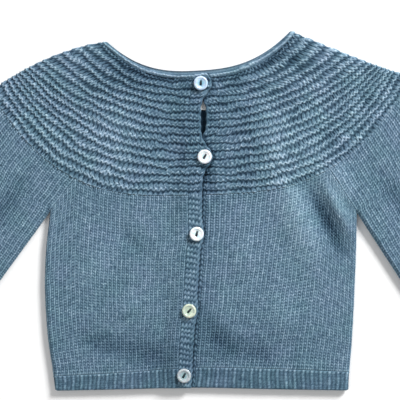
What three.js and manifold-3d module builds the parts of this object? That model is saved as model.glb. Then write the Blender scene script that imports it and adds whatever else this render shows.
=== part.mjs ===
// Baby cardigan: a fine wool knit with a ridged round yoke, buttoned down the front and laid
// flat on its back with the sleeves beside it.
//
// Units are millimetres. Seen from above, +X is right, +Y runs to the neck and +Z is up, and
// left and right below are as seen from above. The plan is drawn from the hem (y = 0) and the
// middle of the garment (x = 0), and the whole group is shifted to the middle of its box at
// the end. Each knitted piece lies in two layers, a back one on the ground and a front one over
// it, and each layer is a wall of its own that turns down or up to the fold between them.

import * as THREE from 'three';
import { mergeVertices } from 'three/addons/utils/BufferGeometryUtils.js';
import Module from 'manifold-3d';

const { lerp, smoothstep, degToRad } = THREE.MathUtils;
const wasm = await Module();
wasm.setup();

// Cloth
const WALL = 2.0;
const FOLD_RADIUS = 3.0;
const SEAM = 0.3;
const OVERLAP_LIFT = 2.4;
const LIFT_WIDTH = 16;

// Round yoke, from the neck edge to the edge where the plain knitting starts
const NECK_LOW = { front: 254.4, back: 256.8 };
const NECK_POWER = 2.65;
const YOKE_LOW = 156.8;
const YOKE_POWER = 3.27;
const YOKE_RIDGES = 15;
const RIDGE_HEIGHT = 1.1;
const TRIM_SHARE = 0.041;
const TRIM_HEIGHT = 0.6;

// Hem, cuffs and sleeves
const HEM_RIBS = 18;
const CUFF_RIBS = 10;
const RIB_HEIGHT = 0.7;
const SLEEVE_LENGTH = 140;
const SLEEVE_END_WIDTH = 66;
const CUFF_LENGTH = 15;
const CUFF_WIDTH = 62;
const SHOULDER_BEND = 28;
const SHOULDER_BEND_SLOPE = degToRad(35);

// Button bands
const BAND_WIDTH = 11;
const BAND_OVERLAP = 8;
const BAND_RIDGE_PITCH = 4.27;
const BAND_RIDGE_HEIGHT = 0.5;
const GAP = { y: 219, reach: 19, over: -1.2, under: 11, seam: 10.5 };

// Buttons and neck label
const BUTTON = { radius: 5.7, thickness: 2.2, dish: 0.45, rim: 1.5, holeRadius: 0.65, holeApart: 2.6 };
const BUTTON_CLEARANCE = 0.3;
const LABEL = { left: -6, right: 8, low: 225, high: 249.5, thickness: 0.8 };

// Corners of the plan on each side: the neck, the bulge of the shoulder line, the yoke's end on
// the shoulder fold, the raglan line's top on the yoke edge, the underarm and the sleeve's slope.
const SIDES = {
  left: {
    sign: -1, neckX: -75.2, neckY: 279.6, bulgeX: -121.8, bulgeY: 273.3, yokeX: -168.5,
    yokeY: 240, raglanX: -100.8, underarmX: -120.8, underarmY: 144, sleeveSlope: degToRad(54),
  },
  right: {
    sign: 1, neckX: 71.5, neckY: 288.3, bulgeX: 120, bulgeY: 266.6, yokeX: 168.5,
    yokeY: 251, raglanX: 102.4, underarmX: 124.8, underarmY: 143.2, sleeveSlope: degToRad(57),
  },
};

// Side folds of the body, from the hem to the underarm
const SIDE_FOLDS = [
  { y: 0, left: -116.6, right: 118.0 },
  { y: 14, left: -118.4, right: 118.6 },
  { y: 43, left: -122.6, right: 121.0 },
  { y: 80, left: -125.0, right: 122.9 },
  { y: 112, left: -124.2, right: 124.2 },
  { y: 144, left: -120.8, right: 124.8 },
];

// The hem's lower edge and its join to the plain knitting, across the garment
const HEM_LINES = [
  { x: -118, low: 0, high: 11.6 },
  { x: -60, low: 1.2, high: 14.6 },
  { x: -8, low: 2.4, high: 18.4 },
  { x: 60, low: 1.2, high: 17.4 },
  { x: 118, low: 0.2, high: 15.2 },
];

// The line that the front edges follow, before each button pulls them over
const FRONT_LINE = [
  { y: -10, x: -8.8 },
  { y: 40, x: -5.8 },
  { y: 100, x: -1.4 },
  { y: 160, x: 1.0 },
  { y: 290, x: 0.5 },
];

// Buttons: place, how far each pulls the band's edge over, the slope of its two holes and its tilt
const BUTTONS = [
  { x: -0.3, y: 245.8, pull: 8.0, reach: 10, holes: 90, tilt: 6 },
  { x: 2.9, y: 187.3, pull: 8.4, reach: 10, holes: 62, tilt: 0 },
  { x: -3.5, y: 125.7, pull: 2.6, reach: 9, holes: 80, tilt: 4 },
  { x: -9.4, y: 64.4, pull: 1.7, reach: 8, holes: 50, tilt: -3 },
  { x: -13.4, y: 12.9, pull: 0.6, reach: 8, holes: 62, tilt: -7 },
];

// Largest soft folds of the front layer: middle, direction, half length, half width and height
const CREASES = [
  { x: -4.0, y: 120.0, angle: 88, length: 170, width: 32, height: -0.6 },
  { x: 101.0, y: 140.0, angle: -63, length: 30, width: 7, height: -1.9 },
  { x: 78.0, y: 142.0, angle: -68, length: 34, width: 15, height: 1.4 },
  { x: 112.0, y: 163.0, angle: -62, length: 20, width: 9, height: 1.3 },
  { x: 15.5, y: 41.0, angle: -45, length: 20, width: 6, height: -1.1 },
  { x: -67.0, y: 34.0, angle: -20, length: 26, width: 6, height: -1.0 },
  { x: -58.0, y: 121.0, angle: -48, length: 20, width: 7, height: -0.8 },
  { x: 62.0, y: 84.0, angle: -70, length: 40, width: 18, height: 0.7 },
  { x: -92.0, y: 92.0, angle: 84, length: 44, width: 16, height: 0.8 },
  { x: 24.0, y: 104.0, angle: 80, length: 30, width: 12, height: 0.6 },
  { x: -72.0, y: 214.0, angle: 62, length: 34, width: 22, height: 0.7 },
  { x: 74.0, y: 222.0, angle: -64, length: 36, width: 20, height: 0.7 },
  { x: 160.0, y: 148.0, angle: -55, length: 42, width: 10, height: -1.1 },
  { x: -158.0, y: 146.0, angle: 54, length: 40, width: 10, height: -1.1 },
  { x: 206.0, y: 92.0, angle: -35, length: 24, width: 7, height: -0.8 },
  { x: -204.0, y: 98.0, angle: 38, length: 24, width: 7, height: -0.8 },
];

const YARN = { color: 0x6f8ea3, roughness: 0.95, metalness: 0 };
const SHELL = { color: 0xe6ecee, roughness: 0.25, metalness: 0 };
const SATIN = { color: 0xdcd8d2, roughness: 0.6, metalness: 0 };

const HALF_SEAM = SEAM / 2;
const YOKE_DEPTH = NECK_LOW.front - YOKE_LOW;
const SEAM_SHARE = HALF_SEAM / YOKE_DEPTH;

// Value of one column of a table at a place between its rows, along a smooth curve.
function fromTable(rows, key, column, at) {
  const last = rows.length - 2;
  let i = rows.findIndex((row, n) => n > 0 && at < row[key]) - 1;
  if (i < 0) i = at < rows[0][key] ? 0 : last;
  const slope = (a, b) => (rows[b][column] - rows[a][column]) / (rows[b][key] - rows[a][key]);
  const span = rows[i + 1][key] - rows[i][key];
  const t = (at - rows[i][key]) / span;
  const from = slope(Math.max(i - 1, 0), i + 1) * span;
  const to = slope(i, Math.min(i + 2, last + 1)) * span;
  const a = rows[i][column];
  const b = rows[i + 1][column];
  return a + t * (from + t * (3 * (b - a) - 2 * from - to + t * (2 * (a - b) + from + to)));
}

const hemLow = (x) => fromTable(HEM_LINES, 'x', 'low', x);
const hemHigh = (x) => fromTable(HEM_LINES, 'x', 'high', x);
const sideFold = (side, y) => fromTable(SIDE_FOLDS, 'y', side, y);

// Shares of the pull that the buttons and the open gap between the two top ones give an edge.
function buttonPull(y) {
  return BUTTONS.reduce((sum, b) => sum + b.pull * Math.exp(-(((y - b.y) / b.reach) ** 2)), 0);
}

const gapShare = (y) => Math.exp(-(((y - GAP.y) / GAP.reach) ** 4));
const frontLine = (y) => fromTable(FRONT_LINE, 'y', 'x', y);

// The four long lines of the two button bands, from left to right where they overlap.
const overSeam = (y) => frontLine(y) + buttonPull(y) / 2 - BAND_WIDTH;
const underEdge = (y) => frontLine(y) - BAND_OVERLAP + GAP.under * gapShare(y);
const underSeam = (y) => frontLine(y) - BAND_OVERLAP + BAND_WIDTH + GAP.seam * gapShare(y);
const overEdge = (y) => frontLine(y) + buttonPull(y) + GAP.over * gapShare(y);

// Height of the soft folds over the flat front layer.
function creaseHeight(x, y) {
  return CREASES.reduce((sum, crease) => {
    const angle = degToRad(crease.angle);
    const along = (x - crease.x) * Math.cos(angle) + (y - crease.y) * Math.sin(angle);
    const across = (y - crease.y) * Math.cos(angle) - (x - crease.x) * Math.sin(angle);
    return sum + crease.height * Math.exp(-((along / crease.length) ** 2) - (across / crease.width) ** 2);
  }, 0);
}

// The left front climbs on to the right one towards the button band.
const overLift = (x, y) => OVERLAP_LIFT * smoothstep(x, overSeam(y) - LIFT_WIDTH, overSeam(y) - 1);
// Ridges and ribs of the right front are pressed flat where the left one covers them.
const uncovered = (x, y) => smoothstep(x, overEdge(y) + 1.4, overEdge(y) + 4);

// A plan line that can be walked by distance or by share of its length.
class Line {
  constructor(points) {
    this.points = points;
    this.reach = [0];
    for (let i = 1; i < points.length; i += 1) {
      const [a, b] = [points[i - 1], points[i]];
      this.reach.push(this.reach[i - 1] + Math.hypot(b[0] - a[0], b[1] - a[1]));
    }
    this.length = this.reach.at(-1);
  }

  at(distance) {
    let i = this.reach.findIndex((reach) => reach > distance);
    if (i < 1) i = i === 0 ? 1 : this.points.length - 1;
    const t = (distance - this.reach[i - 1]) / (this.reach[i] - this.reach[i - 1]);
    return mix(this.points[i - 1], this.points[i], t);
  }

  share(t) {
    return this.at(t * this.length);
  }
}

const mix = (a, b, t) => [lerp(a[0], b[0], t), lerp(a[1], b[1], t)];
const steps = (count) => Array.from({ length: count + 1 }, (_, i) => i / count);
const line = (pointAt, count = 40) => new Line(steps(count).map(pointAt));

// The shoulder fold, from the neck (share 0) to the yoke's end (share 1).
function shoulder(side, share) {
  const s = SIDES[side];
  const bend = (a, b, c) => lerp(lerp(a, b, share), lerp(b, c, share), share);
  return [bend(s.neckX, s.bulgeX, s.yokeX), bend(s.neckY, s.bulgeY, s.yokeY)];
}

// A ring of the yoke, as a function of s from -1 at the left fold to 1 at the right one.
function ring(layer, share) {
  const left = shoulder('left', share);
  const right = shoulder('right', share);
  const low = lerp(NECK_LOW[layer], YOKE_LOW, share);
  const power = lerp(NECK_POWER, YOKE_POWER, share);
  const sag = (left[1] + right[1]) / 2 - low;
  const point = (s) => {
    const [x, y] = mix(left, right, (s + 1) / 2);
    return [x, y - sag * (1 - Math.abs(s) ** power)];
  };
  const atX = (x) => (2 * (x - left[0])) / (right[0] - left[0]) - 1;
  const meet = (edge) => [0, 1, 2, 3].reduce((s) => atX(edge(point(s)[1])), 0);
  return { point, atX, meet, between: (from, to) => line((t) => point(lerp(from, to, t))) };
}

// Corners of a sleeve: the raglan line's two ends, the sleeve's end and the cuff's end.
// Away is 1 for the sleeve's own side of the raglan line and -1 for the body's side.
function corners(side, away) {
  const s = SIDES[side];
  const down = [s.sign * Math.cos(s.sleeveSlope), -Math.sin(s.sleeveSlope)];
  const out = [s.sign * Math.sin(s.sleeveSlope), Math.cos(s.sleeveSlope)];
  const go = (from, alongDown, alongOut) => [
    from[0] + down[0] * alongDown + out[0] * alongOut,
    from[1] + down[1] * alongDown + out[1] * alongOut,
  ];
  const edge = ring('front', 1 + SEAM_SHARE);
  const underarm = go([s.underarmX, s.underarmY], 0, away * HALF_SEAM);
  const raglan = edge.point(edge.atX(s.raglanX + s.sign * away * HALF_SEAM));
  const endIn = go(underarm, SLEEVE_LENGTH, 0);
  const endOut = go(endIn, 0, SLEEVE_END_WIDTH);
  const shoulderEnd = edge.point(s.sign);
  const bendX = shoulderEnd[0] + s.sign * SHOULDER_BEND * Math.cos(SHOULDER_BEND_SLOPE);
  const bend = [bendX, shoulderEnd[1] - SHOULDER_BEND * Math.sin(SHOULDER_BEND_SLOPE)];
  const narrow = (SLEEVE_END_WIDTH - CUFF_WIDTH) / 2;
  const cuffTop = [go(endIn, SEAM, 0), go(endOut, SEAM, 0)];
  const cuffEnd = [go(endIn, CUFF_LENGTH, narrow), go(endOut, CUFF_LENGTH, -narrow)];
  return { edge, underarm, raglan, endIn, endOut, shoulderEnd, bend, cuffTop, cuffEnd };
}

// Part of a fold's quarter turn. Starting is how far the row's end already lies past the fold,
// so that a seam that runs out of the fold climbs with it.
function turn(distance, starting) {
  const past = distance + starting;
  if (past >= FOLD_RADIUS) return { outer: distance, inner: distance, rise: 1 };
  const cos = 1 - past / FOLD_RADIUS;
  const inner = FOLD_RADIUS - (FOLD_RADIUS - WALL) * cos - starting;
  return { outer: distance, inner, rise: Math.sqrt(1 - cos * cos) };
}

const TURN_STEPS = [0, 30, 60].map((angle) => FOLD_RADIUS * (1 - Math.cos(degToRad(angle))));

// Columns along a row. A fold is null where the row ends at a flat seam. Stops are the shares
// at which a column must fall, each with the number of columns up to it.
function columnsOf(length, startFold, endFold, stops) {
  const columns = [];
  if (startFold !== null) TURN_STEPS.forEach((d) => columns.push(turn(d, startFold)));
  const from = startFold === null ? 0 : FOLD_RADIUS;
  const to = endFold === null ? length : length - FOLD_RADIUS;
  let near = from;
  columns.push({ outer: from, inner: from, rise: 1 });
  stops.forEach(({ share, count }) => {
    const far = share === 1 ? to : share * length;
    for (let i = 1; i <= count; i += 1) {
      const d = lerp(near, far, i / count);
      columns.push({ outer: d, inner: d, rise: 1 });
    }
    near = far;
  });
  if (endFold !== null) {
    TURN_STEPS.toReversed().forEach((d) => {
      const { outer, inner, rise } = turn(d, endFold);
      columns.push({ outer: length - outer, inner: length - inner, rise });
    });
  }
  return columns;
}

// Closed strip between two lines of point numbers that need not be equally long.
function strip(triangles, points, a, b) {
  const shares = (ids) => {
    const reach = [0];
    for (let i = 1; i < ids.length; i += 1) {
      reach.push(reach[i - 1] + points[ids[i]].distanceTo(points[ids[i - 1]]));
    }
    return reach.map((r) => r / reach.at(-1));
  };
  const [sa, sb] = [shares(a), shares(b)];
  let [i, j] = [0, 0];
  while (i < a.length - 1 || j < b.length - 1) {
    const stepA = j === b.length - 1 || (i < a.length - 1 && sa[i + 1] <= sb[j + 1]);
    triangles.push(...(stepA ? [a[i], a[i + 1], b[j]] : [a[i], b[j + 1], b[j]]));
    if (stepA) i += 1;
    else j += 1;
  }
}

// Closed solid between an outer and an inner grid of points with the same outline. The plain
// inner skin keeps only every so many rows and columns between its two ends.
function wallBetween(outer, inner, thinRows, thinColumns) {
  const points = [];
  const number = (grid) => grid.map((row) => row.map((p) => points.push(p) - 1));
  const triangles = [];
  const skin = (ids, flip) => {
    for (let r = 0; r + 1 < ids.length; r += 1) {
      for (let c = 0; c + 1 < ids[r].length; c += 1) {
        const [p, q, s, t] = [ids[r][c], ids[r][c + 1], ids[r + 1][c + 1], ids[r + 1][c]];
        triangles.push(...(flip ? [p, s, q, p, t, s] : [p, q, s, p, s, t]));
      }
    }
  };
  const column = (ids, c) => ids.map((row) => row.at(c));
  const out = number(outer);
  const ends = number(inner.map((row) => [row[0], row.at(-1)]));
  const middle = number(every(inner, thinRows).map((row) => every(row, thinColumns).slice(1, -1)));
  skin(out, false);
  skin(middle, true);
  strip(triangles, points, column(ends, 0), column(middle, 0));
  strip(triangles, points, column(middle, -1), column(ends, -1));
  const across = (r) => [ends.at(r)[0], ...middle.at(r), ends.at(r)[1]];
  strip(triangles, points, across(0), out[0]);
  strip(triangles, points, out.at(-1), across(-1));
  strip(triangles, points, column(out, 0), column(ends, 0));
  strip(triangles, points, column(ends, -1), column(out, -1));
  return solid(points, triangles);
}

// Geometry with its faces pointing out, whichever way the points were given.
function solid(points, triangles) {
  let volume = 0;
  const normal = new THREE.Vector3();
  for (let i = 0; i < triangles.length; i += 3) {
    const [a, b, c] = triangles.slice(i, i + 3).map((n) => points[n]);
    volume += a.dot(normal.crossVectors(b, c));
  }
  const index = volume > 0 ? triangles : triangles.toReversed();
  const geometry = new THREE.BufferGeometry().setFromPoints(points);
  geometry.setIndex(index);
  geometry.computeVertexNormals();
  return geometry;
}

// Every so many of a list, and always its last.
const every = (list, step) => list.filter((_, i) => i % step === 0 || i === list.length - 1);

// A knitted wall from its rows. Each row holds its plan line, its folds and its stops. Level
// is the height of the piece's own layer over the plain front, and relief the raised pattern.
function knitted({ rows, layer, level = () => 0, relief = () => 0, thinRows = 1, thinColumns = 1 }) {
  const up = layer === 'front' ? 1 : -1;
  const outer = [];
  const inner = [];
  rows.forEach((row, r) => {
    const columns = columnsOf(row.line.length, row.startFold ?? null, row.endFold ?? null, row.stops);
    const place = (column, skin, c) => {
      const [x, y] = row.line.at(column[skin]);
      const depth = skin === 'outer' ? FOLD_RADIUS : FOLD_RADIUS - WALL;
      const fold = up > 0 ? creaseHeight(x, y) + level(x, y) : 0;
      const raised = up > 0 && skin === 'outer' ? relief(r, c, x, y) : 0;
      const height = HALF_SEAM + (depth - HALF_SEAM) * column.rise;
      return new THREE.Vector3(x, y, FOLD_RADIUS + up * height + (fold + raised) * column.rise);
    };
    outer.push(columns.map((column, c) => place(column, 'outer', c)));
    inner.push(columns.map((column, c) => place(column, 'inner', c)));
  });
  return wallBetween(outer, inner, thinRows, thinColumns);
}

// Columns of the yoke's pieces, closer together where the left front lies over the right one.
const YOKE_STOPS = {
  left: [{ share: 1, count: 14 }],
  right: [{ share: 0.07, count: 3 }, { share: 1, count: 13 }],
  whole: [{ share: 1, count: 28 }],
};

// Rows of a piece of the yoke or of its neck trim, at shares of the yoke's depth.
function yokeRows(layer, half, shares, edge) {
  const stops = YOKE_STOPS[half];
  return shares.map((share) => {
    const r = ring(layer, share);
    if (half === 'left') return { line: r.between(-1, r.meet(edge)), startFold: 0, stops };
    if (half === 'right') return { line: r.between(r.meet(edge), 1), endFold: 0, stops };
    return { line: r.between(-1, 1), startFold: 0, endFold: 0, stops };
  });
}

const ROWS_PER_RIDGE = 3;
const sharesBetween = (from, to, count) => steps(count).map((t) => lerp(from, to, t));
const yokeShares = (count) => sharesBetween(TRIM_SHARE + SEAM_SHARE, 1 - SEAM_SHARE, count);
const trimShares = sharesBetween(0, TRIM_SHARE - SEAM_SHARE, 4);
const overStart = (y) => overSeam(y) - HALF_SEAM;
const underStart = (y) => underSeam(y) + HALF_SEAM;

function yokeFront(half) {
  const ridge = (r) => (r % ROWS_PER_RIDGE === 0 ? 0 : RIDGE_HEIGHT);
  const left = half === 'left';
  return knitted({
    rows: yokeRows('front', half, yokeShares(YOKE_RIDGES * ROWS_PER_RIDGE), left ? overStart : underStart),
    layer: 'front',
    level: left ? overLift : undefined,
    relief: left ? ridge : (r, c, x, y) => ridge(r) * uncovered(x, y),
    thinRows: 9,
  });
}

function neckTrimFront(half) {
  const bead = (r) => TRIM_HEIGHT * Math.sin((Math.PI * r) / (trimShares.length - 1));
  const left = half === 'left';
  return knitted({
    rows: yokeRows('front', half, trimShares, left ? overEdge : underEdge),
    layer: 'front',
    level: left ? overLift : undefined,
    relief: left ? bead : (r, c, x, y) => bead(r) * uncovered(x, y),
  });
}

// Four-sided patch between a lower and an upper line and the two lines that join their ends.
function patchRows(lower, upper, start, end, shares, details) {
  const near = [lower.share(0), upper.share(0)];
  const far = [lower.share(1), upper.share(1)];
  const across = upper.reach.map((reach) => reach / upper.length);
  return shares.map((v) => {
    const points = across.map((u) => {
      const ruled = mix(lower.share(u), upper.share(u), v);
      const sides = mix(start.share(v), end.share(v), u);
      const flat = mix(mix(near[0], near[1], v), mix(far[0], far[1], v), u);
      return [ruled[0] + sides[0] - flat[0], ruled[1] + sides[1] - flat[1]];
    });
    return { line: new Line(points), ...details(v) };
  });
}

// Upper edge of a body piece: up the raglan line from the underarm, then along the yoke.
function bodyTop(from, to) {
  const left = corners('left', -1);
  const right = corners('right', -1);
  const { edge } = left;
  const start = from === 'side' ? edge.atX(left.raglan[0]) : edge.meet(from);
  const end = to === 'side' ? edge.atX(right.raglan[0]) : edge.meet(to);
  const points = edge.between(start, end).points;
  if (from === 'side') points.unshift(left.underarm, mix(left.underarm, left.raglan, 0.5));
  if (to === 'side') points.push(mix(right.underarm, right.raglan, 0.5), right.underarm);
  return new Line(points);
}

// A side of a body or hem piece between two heights.
function bodySide(edgeAt, low, high) {
  return line((t) => {
    const y = lerp(low, high, t);
    return [edgeAt(y), y];
  }, 16);
}

// Where an upright edge crosses a line that runs across the garment.
function crossing(edgeAt, heightAt) {
  const y = [0, 1, 2, 3].reduce((at) => heightAt(edgeAt(at)), 0);
  return [edgeAt(y), y];
}

const BODY_EDGES = {
  left: [(y) => sideFold('left', y), overStart],
  right: [underStart, (y) => sideFold('right', y)],
  whole: [(y) => sideFold('left', y), (y) => sideFold('right', y)],
};

// Body piece of plain knitting: a front half, or the whole back.
function bodyPiece(half, layer) {
  const [startAt, endAt] = BODY_EDGES[half];
  const from = half === 'right' ? startAt : 'side';
  const to = half === 'left' ? endAt : 'side';
  const upper = bodyTop(from, to);
  const floorAt = (x) => hemHigh(x) + HALF_SEAM;
  const [a, b] = [crossing(startAt, floorAt), crossing(endAt, floorAt)];
  const lower = line((t) => [lerp(a[0], b[0], t), floorAt(lerp(a[0], b[0], t))]);
  const start = bodySide(startAt, a[1], upper.share(0)[1]);
  const end = bodySide(endAt, b[1], upper.share(1)[1]);
  const raglanShare = (side) => {
    const c = corners(side, -1);
    return Math.hypot(c.raglan[0] - c.underarm[0], c.raglan[1] - c.underarm[1]) / upper.length;
  };
  const [first, last] = [raglanShare('left'), 1 - raglanShare('right')];
  const details = {
    left: { startFold: 0, stops: [{ share: first, count: 3 }, { share: 1, count: 8 }] },
    right: { endFold: 0, stops: [{ share: last, count: 8 }, { share: 1, count: 3 }] },
    whole: {
      startFold: 0,
      endFold: 0,
      stops: [{ share: first, count: 2 }, { share: last, count: 14 }, { share: 1, count: 2 }],
    },
  }[half];
  const rows = patchRows(lower, upper, start, end, steps(layer === 'front' ? 11 : 6), () => details);
  return knitted({ rows, layer, level: half === 'left' ? overLift : undefined });
}

const COLUMNS_PER_RIB = 3;

// Ribbed hem under a body piece.
function hemPiece(half, layer) {
  const [startAt, endAt] = BODY_EDGES[half];
  const topAt = (x) => hemHigh(x) - HALF_SEAM;
  const across = (heightAt) => {
    const [a, b] = [crossing(startAt, heightAt), crossing(endAt, heightAt)];
    return line((t) => [lerp(a[0], b[0], t), heightAt(lerp(a[0], b[0], t))]);
  };
  const [lower, upper] = [across(hemLow), across(topAt)];
  const start = bodySide(startAt, lower.share(0)[1], upper.share(0)[1]);
  const end = bodySide(endAt, lower.share(1)[1], upper.share(1)[1]);
  const front = layer === 'front';
  const details = {
    startFold: half === 'right' ? null : 0,
    endFold: half === 'left' ? null : 0,
    stops: [{ share: 1, count: front ? HEM_RIBS * COLUMNS_PER_RIB : 20 }],
  };
  const turned = half === 'left' ? TURN_STEPS.length : 0;
  const rib = (r, c, x, y) => {
    const shown = half === 'right' ? uncovered(x, y) : 1;
    return (c - turned) % COLUMNS_PER_RIB === 0 ? 0 : RIB_HEIGHT * shown;
  };
  return knitted({
    rows: patchRows(lower, upper, start, end, steps(2), () => details),
    layer,
    level: half === 'left' ? overLift : undefined,
    relief: rib,
    thinColumns: front ? COLUMNS_PER_RIB : 1,
  });
}

// Sleeve layer: its inner edge is the underarm fold and then the raglan line.
function sleevePiece(side, layer) {
  const c = corners(side, 1);
  const sign = SIDES[side].sign;
  const lower = line((t) => mix(c.endIn, c.endOut, t), 12);
  const upper = c.edge.between(c.edge.atX(c.raglan[0]), sign);
  const fold = line((t) => mix(c.endIn, c.underarm, t), 12);
  const raglan = line((t) => mix(c.underarm, c.raglan, t), 6);
  const inner = new Line([...fold.points, ...raglan.points.slice(1)]);
  const outer = line((t) => mix(mix(c.endOut, c.bend, t), mix(c.bend, c.shoulderEnd, t), t), 24);
  const underarmShare = fold.length / inner.length;
  const rollShare = underarmShare + FOLD_RADIUS / inner.length;
  const shares = [
    ...steps(6).map((t) => t * underarmShare),
    ...steps(3).map((t) => lerp(rollShare, 1, t)),
  ];
  const details = (v) => ({
    startFold: Math.min(Math.max(v - underarmShare, 0) * inner.length, FOLD_RADIUS),
    endFold: 0,
    stops: [{ share: 1, count: layer === 'front' ? 9 : 6 }],
  });
  return knitted({ rows: patchRows(lower, upper, inner, outer, shares, details), layer });
}

function cuffPiece(side, layer) {
  const { cuffTop, cuffEnd } = corners(side, 1);
  const lower = line((t) => mix(cuffEnd[0], cuffEnd[1], t), 12);
  const upper = line((t) => mix(cuffTop[0], cuffTop[1], t), 12);
  const start = line((t) => mix(cuffEnd[0], cuffTop[0], t), 4);
  const end = line((t) => mix(cuffEnd[1], cuffTop[1], t), 4);
  const front = layer === 'front';
  const stops = [{ share: 1, count: front ? CUFF_RIBS * COLUMNS_PER_RIB : 6 }];
  return knitted({
    rows: patchRows(lower, upper, start, end, steps(2), () => ({ startFold: 0, endFold: 0, stops })),
    layer,
    relief: (r, c) => ((c - TURN_STEPS.length) % COLUMNS_PER_RIB === 0 ? 0 : RIB_HEIGHT),
    thinColumns: front ? COLUMNS_PER_RIB : 1,
  });
}

// Button band of short ridges, from the hem's lower edge to the neck trim.
function buttonBand(startAt, endAt, over) {
  const neck = ring('front', TRIM_SHARE + SEAM_SHARE);
  const topAt = (x) => neck.point(neck.atX(x))[1];
  const ridges = Math.round((topAt(0) - hemLow(0)) / BAND_RIDGE_PITCH);
  const rows = steps(ridges * 2).map((t) => {
    const rowAt = (x) => lerp(hemLow(x), topAt(x), t);
    const [a, b] = [crossing(startAt, rowAt), crossing(endAt, rowAt)];
    return {
      line: line((u) => [lerp(a[0], b[0], u), rowAt(lerp(a[0], b[0], u))], 4),
      stops: [{ share: 1, count: 2 }],
    };
  });
  const shown = (x, y) => (over ? 1 : uncovered(x, y));
  return knitted({
    rows,
    layer: 'front',
    level: over ? () => OVERLAP_LIFT : undefined,
    relief: (r, c, x, y) => (r % 2) * BAND_RIDGE_HEIGHT * shown(x, y),
    thinRows: 4,
  });
}

// Solid for the cutting library from a geometry.
function toManifold(geometry) {
  const bare = new THREE.BufferGeometry().setAttribute('position', geometry.attributes.position);
  const merged = mergeVertices(bare.setIndex(geometry.index), 1e-4);
  return new wasm.Manifold(new wasm.Mesh({
    numProp: 3,
    vertProperties: new Float32Array(merged.attributes.position.array),
    triVerts: new Uint32Array(merged.index.array),
  }));
}

function fromManifold(cut) {
  const mesh = cut.getMesh();
  const geometry = new THREE.BufferGeometry();
  geometry.setAttribute('position', new THREE.BufferAttribute(mesh.vertProperties, 3));
  geometry.setIndex(new THREE.BufferAttribute(mesh.triVerts, 1));
  geometry.computeVertexNormals();
  return geometry;
}

// Shell button with a raised rim and two thread holes, lying on z = 0.
function buttonShape(holesSlope) {
  const { radius, thickness, dish, rim, holeRadius, holeApart } = BUTTON;
  const soft = thickness * 0.3;
  const profile = [
    [0, 0],
    [radius - soft, 0],
    [radius, thickness / 2],
    [radius - soft, thickness],
    [radius - rim, thickness - dish * 0.4],
    [radius - rim - 0.5, thickness - dish],
    [0, thickness - dish],
  ].map(([x, y]) => new THREE.Vector2(x, y));
  const body = new THREE.LatheGeometry(profile, 20).rotateX(Math.PI / 2);
  let button = toManifold(body);
  [-1, 1].forEach((way) => {
    const hole = new THREE.CylinderGeometry(holeRadius, holeRadius, thickness * 3, 8).rotateX(Math.PI / 2);
    const along = (way * holeApart) / 2;
    hole.translate(along * Math.cos(holesSlope), along * Math.sin(holesSlope), thickness / 2);
    button = button.subtract(toManifold(hole));
  });
  return fromManifold(button);
}

function named(name, geometry, look) {
  const mesh = new THREE.Mesh(geometry, new THREE.MeshStandardMaterial(look));
  mesh.name = name;
  return mesh;
}

// A button fastened over the top band, just clear of the band's ridges and the neck trim.
function button(spec, number) {
  const mesh = named(`button_${number}`, buttonShape(degToRad(spec.holes)), SHELL);
  const tilt = degToRad(spec.tilt);
  const raised = BUTTON.radius * Math.sin(Math.abs(tilt));
  const cloth = 2 * FOLD_RADIUS + creaseHeight(spec.x, spec.y) + OVERLAP_LIFT + TRIM_HEIGHT;
  mesh.position.set(spec.x, spec.y, cloth + BUTTON_CLEARANCE + raised);
  mesh.rotation.y = tilt;
  return mesh;
}

function neckLabel() {
  const { left, right, low, high, thickness } = LABEL;
  const geometry = new THREE.BoxGeometry(right - left, high - low, thickness);
  const mesh = named('neck_label', geometry, SATIN);
  mesh.position.set((left + right) / 2, (low + high) / 2, WALL + SEAM + thickness / 2);
  return mesh;
}

const cardigan = new THREE.Group();
cardigan.add(
  named('yoke_front_left', yokeFront('left'), YARN),
  named('yoke_front_right', yokeFront('right'), YARN),
  named('yoke_back', knitted({ rows: yokeRows('back', 'whole', yokeShares(6)), layer: 'back' }), YARN),
  named('neck_trim_front_left', neckTrimFront('left'), YARN),
  named('neck_trim_front_right', neckTrimFront('right'), YARN),
  named('neck_trim_back', knitted({ rows: yokeRows('back', 'whole', trimShares), layer: 'back' }), YARN),
  named('body_front_left', bodyPiece('left', 'front'), YARN),
  named('body_front_right', bodyPiece('right', 'front'), YARN),
  named('body_back', bodyPiece('whole', 'back'), YARN),
  named('hem_front_left', hemPiece('left', 'front'), YARN),
  named('hem_front_right', hemPiece('right', 'front'), YARN),
  named('hem_back', hemPiece('whole', 'back'), YARN),
  named('band_over', buttonBand((y) => overSeam(y) + HALF_SEAM, overEdge, true), YARN),
  named('band_under', buttonBand(underEdge, (y) => underSeam(y) - HALF_SEAM, false), YARN),
  neckLabel(),
);
['left', 'right'].forEach((side) => {
  ['front', 'back'].forEach((layer) => {
    cardigan.add(
      named(`sleeve_${side}_${layer}`, sleevePiece(side, layer), YARN),
      named(`cuff_${side}_${layer}`, cuffPiece(side, layer), YARN),
    );
  });
});
BUTTONS.forEach((spec, i) => cardigan.add(button(spec, i + 1)));

// Middle of the garment's box in the plan, to which the origin is moved.
const BOX_CENTRE = { x: -0.4, y: 144.1 };
cardigan.position.set(-BOX_CENTRE.x, -BOX_CENTRE.y, 0);

export default cardigan;
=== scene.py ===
"""Baby cardigan in heathered wool, knitted stitch by stitch and laid flat on a pale floor.

The plan is drawn in millimetres from the hem (y = 0) and the middle of the garment (x = 0).
Every piece is a closed shell of cloth, made row by row: a course of knitting follows plan lines
over the front, round the folds and under the back, and its stitches are raised on the outside.
"""

import math
from collections import namedtuple

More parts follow.
